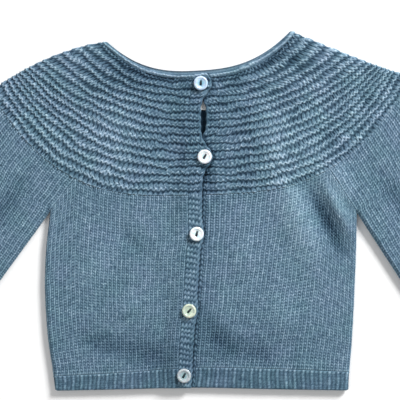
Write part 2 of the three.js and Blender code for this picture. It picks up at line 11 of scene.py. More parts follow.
import bmesh
import bpy
import numpy as np
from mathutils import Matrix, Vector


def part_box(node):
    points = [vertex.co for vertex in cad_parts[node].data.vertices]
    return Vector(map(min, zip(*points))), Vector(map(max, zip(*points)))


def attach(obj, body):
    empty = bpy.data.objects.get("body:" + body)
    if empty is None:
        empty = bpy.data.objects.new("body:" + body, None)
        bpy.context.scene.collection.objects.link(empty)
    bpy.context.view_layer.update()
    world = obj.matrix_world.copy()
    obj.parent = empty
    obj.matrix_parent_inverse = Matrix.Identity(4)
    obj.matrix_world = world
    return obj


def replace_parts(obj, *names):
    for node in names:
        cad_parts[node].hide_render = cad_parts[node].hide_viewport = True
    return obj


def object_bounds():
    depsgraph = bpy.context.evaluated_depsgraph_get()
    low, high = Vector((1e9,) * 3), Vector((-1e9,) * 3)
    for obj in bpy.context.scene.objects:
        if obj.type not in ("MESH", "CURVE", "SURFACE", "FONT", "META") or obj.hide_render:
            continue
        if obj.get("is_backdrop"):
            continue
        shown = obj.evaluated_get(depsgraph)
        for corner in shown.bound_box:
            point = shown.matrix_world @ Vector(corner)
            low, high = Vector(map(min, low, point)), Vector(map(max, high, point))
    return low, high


bl_info = {
    "name": "Knitted Baby Cardigan",
    "version": (1, 0, 0),
    "blender": (4, 5, 0),
    "location": "3D View > Sidebar > Cardigan",
    "description": "Knits a round-yoke baby cardigan and lays it out on a pale floor",
    "category": "Object",
}

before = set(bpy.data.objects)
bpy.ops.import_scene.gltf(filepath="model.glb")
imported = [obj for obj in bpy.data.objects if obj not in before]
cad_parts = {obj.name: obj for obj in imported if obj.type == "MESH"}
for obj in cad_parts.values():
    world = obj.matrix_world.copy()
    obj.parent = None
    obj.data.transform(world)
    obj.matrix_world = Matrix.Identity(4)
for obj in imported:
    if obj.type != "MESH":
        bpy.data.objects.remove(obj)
CAD_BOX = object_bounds()

MM = 0.001
BOX_CENTRE = np.array([-0.4, 144.1])

# Cloth
WALL = 2.0
FOLD_RADIUS = 3.0
OVERLAP_LIFT = 2.4
LIFT_WIDTH = 16.0
SEAM = 0.08
EDGE_RADIUS = 1.1
QUARTER = math.pi / 2
SEAM_ANGLE = SEAM / 2 / FOLD_RADIUS

# How dark the painted shade in a fold and how light the painted light on a swell, for each mm past the height
# where it starts
FOLD_START, FOLD_MOST, FOLD_SHADE = 0.3, 1.6, 0.38
SWELL_START, SWELL_MOST, SWELL_LIGHT = 0.4, 2.0, 0.2
# How dark the painted shadow on the right front is beside the edge of the left one, and most so at a height,
# y
EDGE_SHADE = {"least": 0.12, "most": 0.36, "y": 168, "reach": 22, "away": 0.6, "width": 3.0}

# The heather's dark and light strands as factors on the yarn's colour, fine and broad, and how
# strongly a darker place loses its red, green and blue
HEATHER = ((0.3, (0.64, 0.69, 0.75)), (0.5, (1, 1, 1)), (0.7, (1.34, 1.29, 1.22)))
BROAD_HEATHER = ((0.3, (0.90, 0.97, 0.93)), (0.7, (1.08, 1.02, 1.05)))
TONE_POWERS = (1.15, 0.96, 0.84)

# Width and height of each sheet as it was knitted, measured round a tube, and its height on average
FLAT_SIZES = {
    "body": (490, 172, 146),
    "yoke": (640, 140, 92),
    "hem": (475, 18, 15),
    "sleeve": (190, 200, 168),
    "cuff": (130, 15, 15),
}

# Plain knitting: stitches round the body and across a sleeve, courses, and mesh columns of a
# stitch in the front and in the back layer
BODY_STITCHES = (34, 74, 37)
BODY_COURSES = 65
SLEEVE_STITCHES = 26
SLEEVE_COURSES = 84
PLAIN_DETAIL = (6, 4)
RIGHT_FRONT_SKEW = 0.38

# Ribs of the hem and the cuffs
RIB_COURSES = 7
RIB_ROWS = 3
RIB_DETAIL = (10, 8)
RIB_THIN = (7, 5)

# How much of the unevenness goes into each measure of a stitch
SLOW_SHIFT, STITCH_SHIFT, SIDEWAYS = 0.6, 0.3, 0.35
HEIGHT_BY_STITCH, HEIGHT_BY_POINT = 0.6, 0.25
TONE_BY_STITCH, TONE_BY_POINT, DEPTH_BY_POINT = 0.35, 0.45, 0.4
# Least depth of colour at a seam, which keeps the painted shade there light, share of it that stays
# where another layer covers the cloth, so that covered cloth is darkened with painted shade,
# and how much of its relief the underside is drawn in by
SEAM_DEPTH = 0.45
COVERED_DEPTH = 0.25
UNDERSIDE_PRESS = 1.25

# Round yoke
NECK_LOW = {"front": 254.4, "back": 256.8}
NECK_POWER = 2.65
YOKE_LOW = 156.8
YOKE_POWER = 3.27
RING_REACH = 0.17
RING_ROUNDING = 0.75
YOKE_RIDGES = 15
YOKE_ROWS = (0.0, 0.1, 0.2, 0.3, 0.4, 0.48, 0.57, 0.7, 0.85)
YOKE_DETAIL = (5, 3)
NECK_GATHER = 0.78
TRIM_SHARE = 0.041
TRIM_WIDTH = 4.0
TRIM_STITCH_WIDTH = 2.6
TRIM_HEIGHT = 1.3
TRIM_ROWS = 9
TRIM_DETAIL = (4, 4)
# Below nought, the painted shade of folds and dim places turns into painted light on the neck trim
TRIM_SHADING = -0.3

# Sleeves and cuffs
SLEEVE_LENGTH = 140.0
SLEEVE_END_WIDTH = 66.0
CUFF_LENGTH = 15.0
CUFF_WIDTH = 62.0
SHOULDER_BEND = 28.0
SHOULDER_BEND_SLOPE = math.radians(35)

# Button bands
BAND_WIDTH = 11.0
BAND_OVERLAP = 8.0
BAND_LENGTH = 252.0
BAND_RIDGE_PITCH = 4.27
BAND_ROWS = 6
BAND_COLUMNS = 24
GARTER_STITCHES, RIDGE_STITCHES = 4, 3
SELVEDGE = 1.7
EDGE_BUMP = 0.3
GAP = {"y": 219.0, "reach": 19.0, "over": -1.2, "under": 11.0, "seam": 10.5}

SIDES = {
    "left": {
        "sign": -1, "neck": (-75.2, 279.6), "bulge": (-121.8, 273.3), "yoke": (-168.5, 240.0),
        "raglan_x": -100.8, "underarm": (-120.8, 144.0), "slope": math.radians(54),
    },
    "right": {
        "sign": 1, "neck": (71.5, 288.3), "bulge": (120.0, 266.6), "yoke": (168.5, 251.0),
        "raglan_x": 102.4, "underarm": (124.8, 143.2), "slope": math.radians(57),
    },
}

# Side folds of the body, from the hem to the underarm
SIDE_FOLDS = {
    "y": [0, 14, 43, 80, 112, 144],
    "left": [-116.6, -118.4, -122.6, -125.0, -124.2, -120.8],
    "right": [118.0, 118.6, 121.0, 122.9, 124.2, 124.8],
}
# The hem's lower edge and its join to the plain knitting, across the garment
HEM_LINES = {
    "x": [-118, -60, -8, 60, 118],
    "low": [0.0, 1.2, 2.4, 1.2, 0.2],
    "high": [11.6, 14.6, 18.4, 17.4, 15.2],
}
# The line that the front edges follow, before each button pulls them over
FRONT_LINE = {"y": [-10, 40, 100, 160, 290], "x": [-8.8, -5.8, -1.4, 1.0, 0.5]}

# Buttons: height on the band, pull on its edge and how far that reaches, slope of the holes, tilt,
# tint of the shell and of its hollow middle. Their places across come from the frame.
TEAL_HOLLOW, PALE_HOLLOW = (0.42, 0.74, 0.74), (0.80, 0.92, 0.90)
BUTTONS = [
    {
        "y": 245.8, "pull": 8.0, "reach": 10, "holes": 90, "tilt": 6,
        "tint": (0.52, 0.65, 0.82), "hollow": TEAL_HOLLOW,
    },
    {
        "y": 187.3, "pull": 8.4, "reach": 10, "holes": 62, "tilt": 0,
        "tint": (0.90, 0.93, 0.96), "hollow": PALE_HOLLOW,
    },
    {
        "y": 125.7, "pull": 2.6, "reach": 9, "holes": 80, "tilt": 4,
        "tint": (0.82, 0.88, 0.93), "hollow": PALE_HOLLOW,
    },
    {
        "y": 64.4, "pull": 1.7, "reach": 8, "holes": 50, "tilt": -3,
        "tint": (0.62, 0.68, 0.55), "hollow": PALE_HOLLOW,
    },
    {
        "y": 12.9, "pull": 0.6, "reach": 8, "holes": 62, "tilt": -7,
        "tint": (0.47, 0.52, 0.55), "hollow": TEAL_HOLLOW,
    },
]
# Outline of a button from its middle round the rim and back: shares of its radius and thickness
BUTTON_PROFILE = (
    (0.0, 0.0), (0.62, 0.0), (0.82, 0.06), (0.94, 0.2), (0.995, 0.42), (1.0, 0.58), (0.97, 0.76),
    (0.91, 0.9), (0.83, 0.98), (0.76, 1.0), (0.70, 0.96), (0.66, 0.86), (0.6, 0.8), (0.3, 0.75), (0.0, 0.74),
)
BUTTON_SIDES = 64
HOLE_SIDES = 20
DISH_INSIDE, DISH_OUTSIDE = 0.2, 0.62

THREAD_STRANDS = 4
THREAD_RADIUS = 0.27 * MM
THREAD_SIDES = 8
THREAD_POINTS = 17

LABEL_COLUMNS, LABEL_ROWS, LABEL_FOLD_ROWS = 12, 24, 6
LABEL_WALL = 0.42

# Studio, in metres, with the power of each light as a share of the main one's
FLOOR_SIZE = 6
LIGHTS = {
    "key": {"place": (1.5, 1.75, 1.45), "size": 0.8, "share": 1.0},
    "fill": {"place": (-1.5, -0.4, 2.4), "size": 2.4, "share": 0.2},
}
CAMERA_POINT = (-0.4 * MM, 8.7 * MM)
CLOTH_TOP = 6.0 * MM
SENSOR = 36.0

# Soft folds of the front layer: middle, direction, half length, half width and height
CREASES = [
    (-4.0, 120.0, 88, 170, 32, -0.6),
    (98.0, 139.5, -62, 31, 9, -2.4),
    (109.0, 146.0, -62, 23, 6, 2.8),
    (78.0, 138.0, -68, 36, 13, 3.0),
    (112.0, 168.0, -60, 18, 9, 2.0),
    (6.5, 172.0, -78, 15, 4, -0.8),
    (16.0, 41.0, -45, 22, 8, -0.9),
    (48.0, 28.0, -30, 16, 9, -0.8),
    (72.0, 38.0, 10, 14, 9, -0.7),
    (-47.0, 30.0, -25, 28, 11, -0.9),
    (-83.0, 38.0, -20, 18, 9, -0.9),
    (-58.0, 121.0, -48, 20, 7, -0.8),
    (-85.0, 99.0, 60, 22, 12, 1.4),
    (-27.0, 110.0, 80, 20, 9, 1.2),
    (-57.0, 66.0, 20, 14, 8, 1.0),
    (35.0, 113.0, 70, 18, 9, 1.4),
    (65.0, 60.0, -70, 24, 12, 1.0),
    (-72.0, 200.0, 50, 32, 22, 1.6),
    (66.0, 196.0, -50, 34, 20, 1.8),
    (76.0, 262.0, -60, 12, 5, -1.0),
    (160.0, 148.0, -55, 42, 10, -1.1),
    (-158.0, 146.0, 54, 40, 10, -1.1),
    (206.0, 92.0, -35, 24, 7, -0.8),
    (-204.0, 98.0, 38, 24, 7, -0.8),
]

# Places of the front darkened by painted shade, or lightened by painted light where the share is below
# nought: middle, half width and share
PAINTED_SHADE_PLACES = [
    (-6.0, 214.0, 56, 46, 0.2),
    (-62.0, 262.0, 26, 22, 0.36),
    (-34.0, 250.0, 30, 12, 0.14),
    (62.0, 266.0, 20, 18, 0.24),
    (-40.0, 32.0, 62, 18, 0.17),
    (40.0, 36.0, 48, 20, 0.17),
    (-100.0, 246.0, 40, 14, 0.08),
    (109.0, 118.0, 8, 16, 0.16),
    (74.0, 100.0, 40, 50, -0.05),
]


# Sizes and colours that a user would change


def length(name, description, default_mm):
    """A size in metres, given in millimetres."""
    return bpy.props.FloatProperty(
        name=name, description=description, default=default_mm * MM, unit="LENGTH", precision=5
    )


def colour(name, description, default):
    """A colour that a user picks, as linear red, green and blue."""
    return bpy.props.FloatVectorProperty(
        name=name, description=description, default=default, subtype="COLOR", size=3, min=0, max=1
    )


class KnitSizes(bpy.types.PropertyGroup):
    """Gauge and relief of the knitting."""

    stitch_height: length("Stitch Height", "How far a plain stitch stands out", 0.62)
    yoke_stitch_width: length("Yoke Stitch Width", "Width of a stitch at the yoke's end", 4.0)
    ridge_height: length("Ridge Height", "How far a purl ridge of the yoke stands out", 1.3)
    rib_width: length("Rib Width", "Width of a rib and its furrow in the hem", 6.7)
    rib_height: length("Rib Height", "How far a rib stands out", 0.9)
    bead_height: length("Bead Height", "How far a garter ridge stands out", 0.7)
    unevenness: bpy.props.FloatProperty(
        name="Unevenness", description="How much one stitch differs from the next", default=0.26, min=0, max=1
    )


class YarnLook(bpy.types.PropertyGroup):
    """Colours of the heathered wool and of the label."""

    # Shade is the painted shade between the stitches and light the painted highlight on top of them; body is
    # the yarn's own colour
    shade: colour("Shade", "Colour between the stitches", (0.012, 0.030, 0.054))
    body: colour("Body", "Colour of most of the yarn", (0.112, 0.196, 0.272))
    light: colour("Light", "Colour on top of the stitches", (0.40, 0.54, 0.66))
    label: colour("Label", "Colour of the neck label", (0.90, 0.92, 0.93))
    thread: colour("Thread", "Colour of the thread that holds the buttons", (0.020, 0.028, 0.036))


class ButtonSizes(bpy.types.PropertyGroup):
    """Sizes of the shell buttons."""

    diameter: length("Diameter", "Width of a button", 11.4)
    thickness: length("Thickness", "Thickness at the rim", 2.2)
    hole: length("Hole", "Width of a thread hole", 1.6)
    holes_apart: length("Holes Apart", "Distance between the two holes", 2.6)


class StudioSettings(bpy.types.PropertyGroup):
    """Floor, lights and camera."""

    floor: colour("Floor", "Colour of the floor", (0.93, 0.93, 0.93))
    camera_height: length("Camera Height", "Height of the camera over the cloth", 900)
    view_width: length("View Width", "Width that the camera sees", 320)
    key_power: bpy.props.FloatProperty(name="Key Power", description="Power of the main light", default=105.0)
    world_strength: bpy.props.FloatProperty(
        name="World Strength", description="Strength of the light all round", default=0.3
    )


# Plan of the garment


def smooth_table(table, key, column, at):
    """Values of a column at places between the rows of a table, along a smooth curve."""
    keys = np.array(table[key], float)
    values = np.array(table[column], float)
    at = np.asarray(at, float)
    i = np.clip(np.searchsorted(keys, at, side="right") - 1, 0, len(keys) - 2)
    low, high = np.maximum(i - 1, 0), np.minimum(i + 2, len(keys) - 1)
    span = keys[i + 1] - keys[i]
    start = (values[i + 1] - values[low]) / (keys[i + 1] - keys[low]) * span
    end = (values[high] - values[i]) / (keys[high] - keys[i]) * span
    t = (at - keys[i]) / span
    a, b = values[i], values[i + 1]
    return a + t * (start + t * (3 * (b - a) - 2 * start - end + t * (2 * (a - b) + start + end)))


def smoothstep(x, low, high):
    """A soft step from 0 at low to 1 at high."""
    t = np.clip((x - low) / (high - low), 0, 1)
    return t * t * (3 - 2 * t)


def mix(a, b, t):
    return a + (b - a) * t


def hem_low(x):
    return smooth_table(HEM_LINES, "x", "low", x)


def hem_high(x):
    return smooth_table(HEM_LINES, "x", "high", x)


def side_fold(side):
    return lambda y: smooth_table(SIDE_FOLDS, "y", side, y)


def front_line(y):
    return smooth_table(FRONT_LINE, "y", "x", y)


def button_pull(y):
    """How far the buttons pull the left front's edge over, at a height."""
    return sum(b["pull"] * np.exp(-(((y - b["y"]) / b["reach"]) ** 2)) for b in BUTTONS)


def gap_share(y):
    """How far the fronts are parted between the first two buttons, 0 to 1."""
    return np.exp(-(((y - GAP["y"]) / GAP["reach"]) ** 4))


def over_seam(y):
    return front_line(y) + button_pull(y) / 2 - BAND_WIDTH


def under_edge(y):
    return front_line(y) - BAND_OVERLAP + GAP["under"] * gap_share(y)


def under_seam(y):
    return front_line(y) - BAND_OVERLAP + BAND_WIDTH + GAP["seam"] * gap_share(y)


def over_edge(y):
    return front_line(y) + button_pull(y) + GAP["over"] * gap_share(y)


def crease_height(x, y):
    """Height of the soft folds over the flat front layer."""
    total = np.zeros(np.shape(x))
    for middle_x, middle_y, degrees, half_length, half_width, height in CREASES:
        c, s = math.cos(math.radians(degrees)), math.sin(math.radians(degrees))
        along = (x - middle_x) * c + (y - middle_y) * s
        across = (y - middle_y) * c - (x - middle_x) * s
        total += height * np.exp(-((along / half_length) ** 2) - (across / half_width) ** 2)
    return total


def painted_fold_shading(x, y):
    """Painted shade on the cloth of the front, in the dim places and deep in a fold, less painted light on
    top of a swell.
    """
    height = crease_height(x, y)
    painted_place_shade = sum(share * bell(x, mx, wx) * bell(y, my, wy) for mx, my, wx, wy, share in PAINTED_SHADE_PLACES)
    fold = np.clip(-height - FOLD_START, 0, FOLD_MOST) * FOLD_SHADE
    return painted_place_shade + fold - np.clip(height - SWELL_START, 0, SWELL_MOST) * SWELL_LIGHT


def over_lift(x, y):
    """Climb of the left front on to the right one towards the button band."""
    return OVERLAP_LIFT * smoothstep(x, over_seam(y) - LIFT_WIDTH, over_seam(y) - 1)


def no_lift(x, y):
    return np.zeros(np.shape(x))


def painted_edge_shadow(x, y):
    """Painted shadow on the right front where it lies close under the edge of the left one."""
    e = EDGE_SHADE
    strength = mix(e["least"], e["most"], bell(y, e["y"], e["reach"]))
    return strength * bell(x - over_edge(y), e["away"], e["width"])


def uncovered(x, y):
    """Share of the right front's relief that isn't pressed flat under the left one."""
    return smoothstep(x, over_edge(y) - 0.2, over_edge(y) + 2.4)


def spread(share):
    """How much the rings between the trim and the yoke's end reach out over the shoulder, 0 to 1."""
    inside = max((share - TRIM_SHARE) / (1 - TRIM_SHARE), 0)
    return math.sin(math.pi * min(inside, 1) ** 0.75) ** 2


def shoulder(side, share):
    """The shoulder fold, from the neck (share 0) to the yoke's end (share 1)."""
    a, b, c = (np.array(SIDES[side][k]) for k in ("neck", "bulge", "yoke"))
    at = share + RING_REACH * spread(share)
    return mix(mix(a, b, at), mix(b, c, at), at)


class Ring:
    """A ring of the yoke, with places from -1 at the left fold to 1 at the right one."""

    def __init__(self, layer, share):
        self.left, self.right = shoulder("left", share), shoulder("right", share)
        low = mix(NECK_LOW[layer], YOKE_LOW, share)
        self.power = mix(NECK_POWER, YOKE_POWER, share) - RING_ROUNDING * spread(share)
        self.sag = (self.left[1] + self.right[1]) / 2 - low

    def points(self, place):
        place = np.atleast_1d(np.asarray(place, float))
        plan = mix(self.left, self.right, ((place + 1) / 2)[:, None])
        plan[:, 1] -= self.sag * (1 - np.abs(place) ** self.power)
        return plan

    def at_x(self, x):
        return 2 * (x - self.left[0]) / (self.right[0] - self.left[0]) - 1

    def meet(self, edge):
        """Place where an upright edge crosses the ring."""
        place = 0.0
        for _ in range(4):
            place = self.at_x(float(edge(self.points(place)[0, 1])))
        return place

    def between(self, start, end, count=120):
        return self.points(np.linspace(start, end, count))


def reach_of(line):
    """Distance of each point of a plan line from its start."""
    return np.concatenate([[0.0], np.cumsum(np.hypot(*np.diff(line, axis=0).T))])


def at_shares(line, shares):
    """Points of a plan line at shares of its length."""
    reach = reach_of(line)
    return np.stack([np.interp(shares * reach[-1], reach, line[:, k]) for k in (0, 1)], axis=1)


def straight(a, b, count=24):
    return mix(np.array(a, float), np.array(b, float), np.linspace(0, 1, count)[:, None])


def patch(lower, upper, start, end, shares):
    """Rows of plan points between a lower and an upper line and the lines that join their ends."""
    corner = reach_of(upper) / reach_of(upper)[-1]
    across = np.unique(np.concatenate([corner, np.linspace(0, 1, 160)]))
    low, high = at_shares(lower, across), at_shares(upper, across)
    v = np.asarray(shares)
    left, right = at_shares(start, v)[:, None], at_shares(end, v)[:, None]
    v, u = v[:, None, None], across[None, :, None]
    flat = mix(mix(low[0], high[0], v), mix(low[-1], high[-1], v), u)
    return mix(low[None], high[None], v) + mix(left, right, u) - flat


def crossing(edge, height):
    """Point where an upright edge crosses a line across the garment."""
    y = np.zeros(1)
    for _ in range(4):
        y = height(edge(y))
    return np.concatenate([edge(y), y])


def across_between(start, end, height, count=60):
    x = np.linspace(crossing(start, height)[0], crossing(end, height)[0], count)
    return np.stack([x, height(x)], axis=1)


def upright(edge, low, high, count=60):
    y = np.linspace(low, high, count)
    return np.stack([edge(y), y], axis=1)


def sleeve_corners(side):
    """Raglan line, sleeve end and cuff of one side."""
    s = SIDES[side]
    down = np.array([s["sign"] * math.cos(s["slope"]), -math.sin(s["slope"])])
    out = np.array([s["sign"] * math.sin(s["slope"]), math.cos(s["slope"])])
    edge = Ring("front", 1)
    underarm = np.array(s["underarm"])
    end_in = underarm + down * SLEEVE_LENGTH
    end_out = end_in + out * SLEEVE_END_WIDTH
    shoulder_end = edge.points(s["sign"])[0]
    slope = SHOULDER_BEND_SLOPE
    bend = shoulder_end + SHOULDER_BEND * np.array([s["sign"] * math.cos(slope), -math.sin(slope)])
    narrow = (SLEEVE_END_WIDTH - CUFF_WIDTH) / 2
    return {
        "edge": edge,
        "underarm": underarm,
        "raglan": edge.points(edge.at_x(s["raglan_x"]))[0],
        "end": (end_in, end_out),
        "outer": (end_out, bend, shoulder_end),
        "cuff_end": (end_in + down * CUFF_LENGTH + out * narrow, end_out + down * CUFF_LENGTH - out * narrow),
    }


# Courses of knitting

# Columns of numbers along a course: outer points, directions out of the cloth, distance and
# place along the outside, the share of the relief that shows, how far the cloth is turned
# under, how much lower it lies at a rounded edge, and the painted shade on it from folds, dim places and the
# edge above it
Walk = namedtuple("Walk", "points normals reach place shown under drop shade")


class Stretch:
    """Part of a course that follows one plan line in one layer of the garment.

    An angle is how far the cloth has turned out of the fold at that end: 0 at the fold itself
    and a quarter turn where the cloth is flat. Level is the climb of the layer over the plain
    front, stitches the number of stitches and detail the mesh columns of each. Cover gives the
    share of the relief that shows where another layer lies on top. Free names the end, if any,
    where the cloth has an edge of its own, which is rounded off. With a skew, the stitches are
    spread evenly in x, however the line slopes, and then drawn towards its start.
    """

    def __init__(
        self, line, layer, stitches, detail, start=QUARTER, end=QUARTER, level=no_lift,
        cover=None, free=None, skew=None,
    ):
        self.line, self.layer, self.level, self.cover = line, layer, level, cover
        self.stitches, self.detail, self.free = stitches, detail, free
        self.start, self.end, self.skew = start, end, skew

    def walk(self):
        """The columns of numbers along this stretch."""
        reach = reach_of(self.line)
        flat = reach[-1]
        spare = [FOLD_RADIUS * (QUARTER - a - math.cos(a)) for a in (self.start, self.end)]
        total = flat + sum(spare)
        s = np.linspace(0, 1, self.stitches * self.detail + 1)
        if self.skew is not None:
            x = self.line[:, 0]
            s = np.interp(s - self.skew * s * (1 - s), (x - x[0]) / (x[-1] - x[0]), reach / flat)
        s *= total
        first = np.clip(self.start + s / FOLD_RADIUS, 0, QUARTER)
        last = np.clip(self.end + (total - s) / FOLD_RADIUS, 0, QUARTER)
        angle = np.minimum(first, last)
        d = s - spare[0]
        d = np.where(first < QUARTER, FOLD_RADIUS * (math.cos(self.start) - np.cos(first)), d)
        d = np.where(last < QUARTER, flat - FOLD_RADIUS * (math.cos(self.end) - np.cos(last)), d)
        plan = np.stack([np.interp(d, reach, self.line[:, k]) for k in (0, 1)], axis=1)
        i = np.clip(np.searchsorted(reach, d, side="right") - 1, 0, len(reach) - 2)
        along = np.diff(self.line, axis=0)[i]
        along /= np.maximum(np.linalg.norm(along, axis=1), 1e-9)[:, None]
        outward = np.where((first < last)[:, None], -along, along) * np.cos(angle)[:, None]
        rise = np.sin(angle)
        z = FOLD_RADIUS + self.layer * FOLD_RADIUS * rise
        if self.layer > 0:
            z = z + (crease_height(*plan.T) + self.level(*plan.T)) * rise
        points = np.column_stack([plan, z])
        normals = np.column_stack([outward, self.layer * rise])
        place = np.arange(len(s)) / self.detail
        shown = self.cover(*plan.T) if self.cover else np.ones(len(s))
        under = np.where(self.layer < 0, rise, 0.0)
        drop = np.zeros(len(s))
        if self.free:
            drop = rounded(s if self.free == "start" else total - s)
        # Painted shade from the folds and dim places, and painted shadow beside the left front's edge
        shade = painted_fold_shading(*plan.T) if self.layer > 0 else np.zeros(len(s))
        if self.cover:
            shade = shade + painted_edge_shadow(*plan.T)
        return Walk(points, normals, s, place, shown, under, drop, shade)


def rounded(distance):
    """How much lower a rounded edge lies at a distance in from it."""
    inward = np.clip(distance / EDGE_RADIUS, 0, 1)
    return EDGE_RADIUS * (1 - np.sqrt(1 - (1 - inward) ** 2))


class Course:
    """A row of mesh points: its stretches, its place along the knitting, in courses, the pattern
    and the height of its stitches, and the distance to an edge of the cloth that it lies by.
    """

    def __init__(self, stretches, along, pattern, height, edge=EDGE_RADIUS):
        self.stretches, self.along, self.pattern, self.height = stretches, along, pattern, height
        self.drop = float(rounded(edge))


def walk_course(stretches):
    """One course over all its stretches, joined at the folds."""
    parts = [stretch.walk() for stretch in stretches]
    joined = {}
    for name in Walk._fields:
        columns = [getattr(part, name) for part in parts]
        if name in ("reach", "place"):
            for k in range(1, len(columns)):
                columns[k] = columns[k] + columns[k - 1][-1]
        joined[name] = np.concatenate([columns[0]] + [column[1:] for column in columns[1:]])
    return Walk(**joined)


class Shell:
    """A closed shell of cloth, gathered from its outer and its inner rows."""

    def __init__(self, name):
        self.name = name
        self.points, self.depth, self.tone, self.flat = [], [], [], []
        self.quads, self.triangles = [], []
        self.count = self.rim_start = 0

    def add(self, points, depth, tone, flat):
        ids = np.arange(self.count, self.count + len(points))
        self.count += len(points)
        self.points.append(points)
        self.depth.append(np.broadcast_to(depth, len(points)))
        self.tone.append(np.broadcast_to(tone, len(points)))
        self.flat.append(flat)
        return ids

    def skin(self, rows, flip):
        """Quads between rows of equal length, and triangles where their lengths differ."""
        for a, b in zip(rows, rows[1:]):
            if len(a) == len(b):
                quad = [a[:-1], a[1:], b[1:], b[:-1]]
                self.quads.append(np.stack(quad[::-1] if flip else quad, axis=1))
            else:
                self.strip(b, a) if flip else self.strip(a, b)

    def strip(self, a, b):
        """Triangles between two lines of points, with a walked forwards and b backwards."""
        where = np.concatenate(self.points)
        shares = []
        for ids in (a, b):
            reach = np.concatenate([[0], np.cumsum(np.linalg.norm(np.diff(where[ids], axis=0), axis=1))])
            shares.append(reach / max(reach[-1], 1e-9))
        i = j = 0
        made = []
        while i < len(a) - 1 or j < len(b) - 1:
            if j == len(b) - 1 or (i < len(a) - 1 and shares[0][i + 1] <= shares[1][j + 1]):
                made.append((a[i], a[i + 1], b[j]))
                i += 1
            else:
                made.append((a[i], b[j + 1], b[j]))
                j += 1
        self.triangles.append(np.array(made))

    def close(self, outer, inner):
        """Skins of both sides and the rim between them, from rows of point numbers.

        The inner rows come as the two end lines and the rows between them.
        """
        left, middle, right = inner
        self.skin(outer, False)
        self.skin(middle, True)
        first = [row[0] for row in middle]
        last = [row[-1] for row in middle]
        self.strip(left, first)
        self.strip(last, right)
        self.rim_start = sum(len(made) for made in self.triangles)
        self.strip(np.concatenate([[left[0]], middle[0], [right[0]]]), outer[0])
        self.strip(outer[-1], np.concatenate([[left[-1]], middle[-1], [right[-1]]]))
        self.strip([row[0] for row in outer], left)
        self.strip(right, [row[-1] for row in outer])

    def build(self, material, slot):
        """The Blender object, in metres and with its faces pointing out."""
        points = np.concatenate(self.points)
        points[:, :2] -= BOX_CENTRE
        points *= MM
        quads = np.concatenate(self.quads)
        triangles = np.concatenate(self.triangles)
        halves = np.concatenate([triangles, quads[:, [0, 1, 2]], quads[:, [0, 2, 3]]])
        a, b, c = (points[halves[:, k]] for k in range(3))
        if np.einsum("ij,ij->i", a, np.cross(b, c)).sum() < 0:
            quads, triangles = quads[:, ::-1], triangles[:, ::-1]
        corners = np.concatenate([quads.ravel(), triangles.ravel()])
        sizes = np.concatenate([np.full(len(quads), 4), np.full(len(triangles), 3)])
        mesh = bpy.data.meshes.new(self.name)
        mesh.vertices.add(len(points))
        mesh.vertices.foreach_set("co", points.ravel())
        mesh.loops.add(len(corners))
        mesh.loops.foreach_set("vertex_index", corners.astype(np.int32))
        mesh.polygons.add(len(sizes))
        starts = np.concatenate([[0], np.cumsum(sizes)[:-1]])
        mesh.polygons.foreach_set("loop_start", starts.astype(np.int32))
        mesh.polygons.foreach_set("use_smooth", np.arange(len(sizes)) < len(quads) + self.rim_start)
        mesh.update(calc_edges=True)
        for name, values in (("depth", self.depth), ("tone", self.tone)):
            layer = mesh.attributes.new(name, "FLOAT", "POINT")
            layer.data.foreach_set("value", np.concatenate(values).astype(np.float32))
        uv = mesh.uv_layers.new(name="cloth")
        uv.data.foreach_set("uv", np.concatenate(self.flat)[corners].astype(np.float32).ravel())
        mesh.validate()
        obj = bpy.data.objects.new(self.name, mesh)
        bpy.context.collection.objects.link(obj)
        mesh.materials.append(material)
        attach(obj, "root")
        return obj


def every(count, step):
    """Numbers of every so many rows, and always the last."""
    picked = list(range(0, count, step))
    return picked if picked[-1] == count - 1 else picked + [count - 1]


def sway(s, along):
    """Slow unevenness of the knitting, from -1 to 1, at a distance along a course."""
    return 0.5 * np.sin(s / 5.9 + 1.7 * along + 0.4) + 0.5 * np.sin(s / 9.7 - 1.1 * along + 2.0)


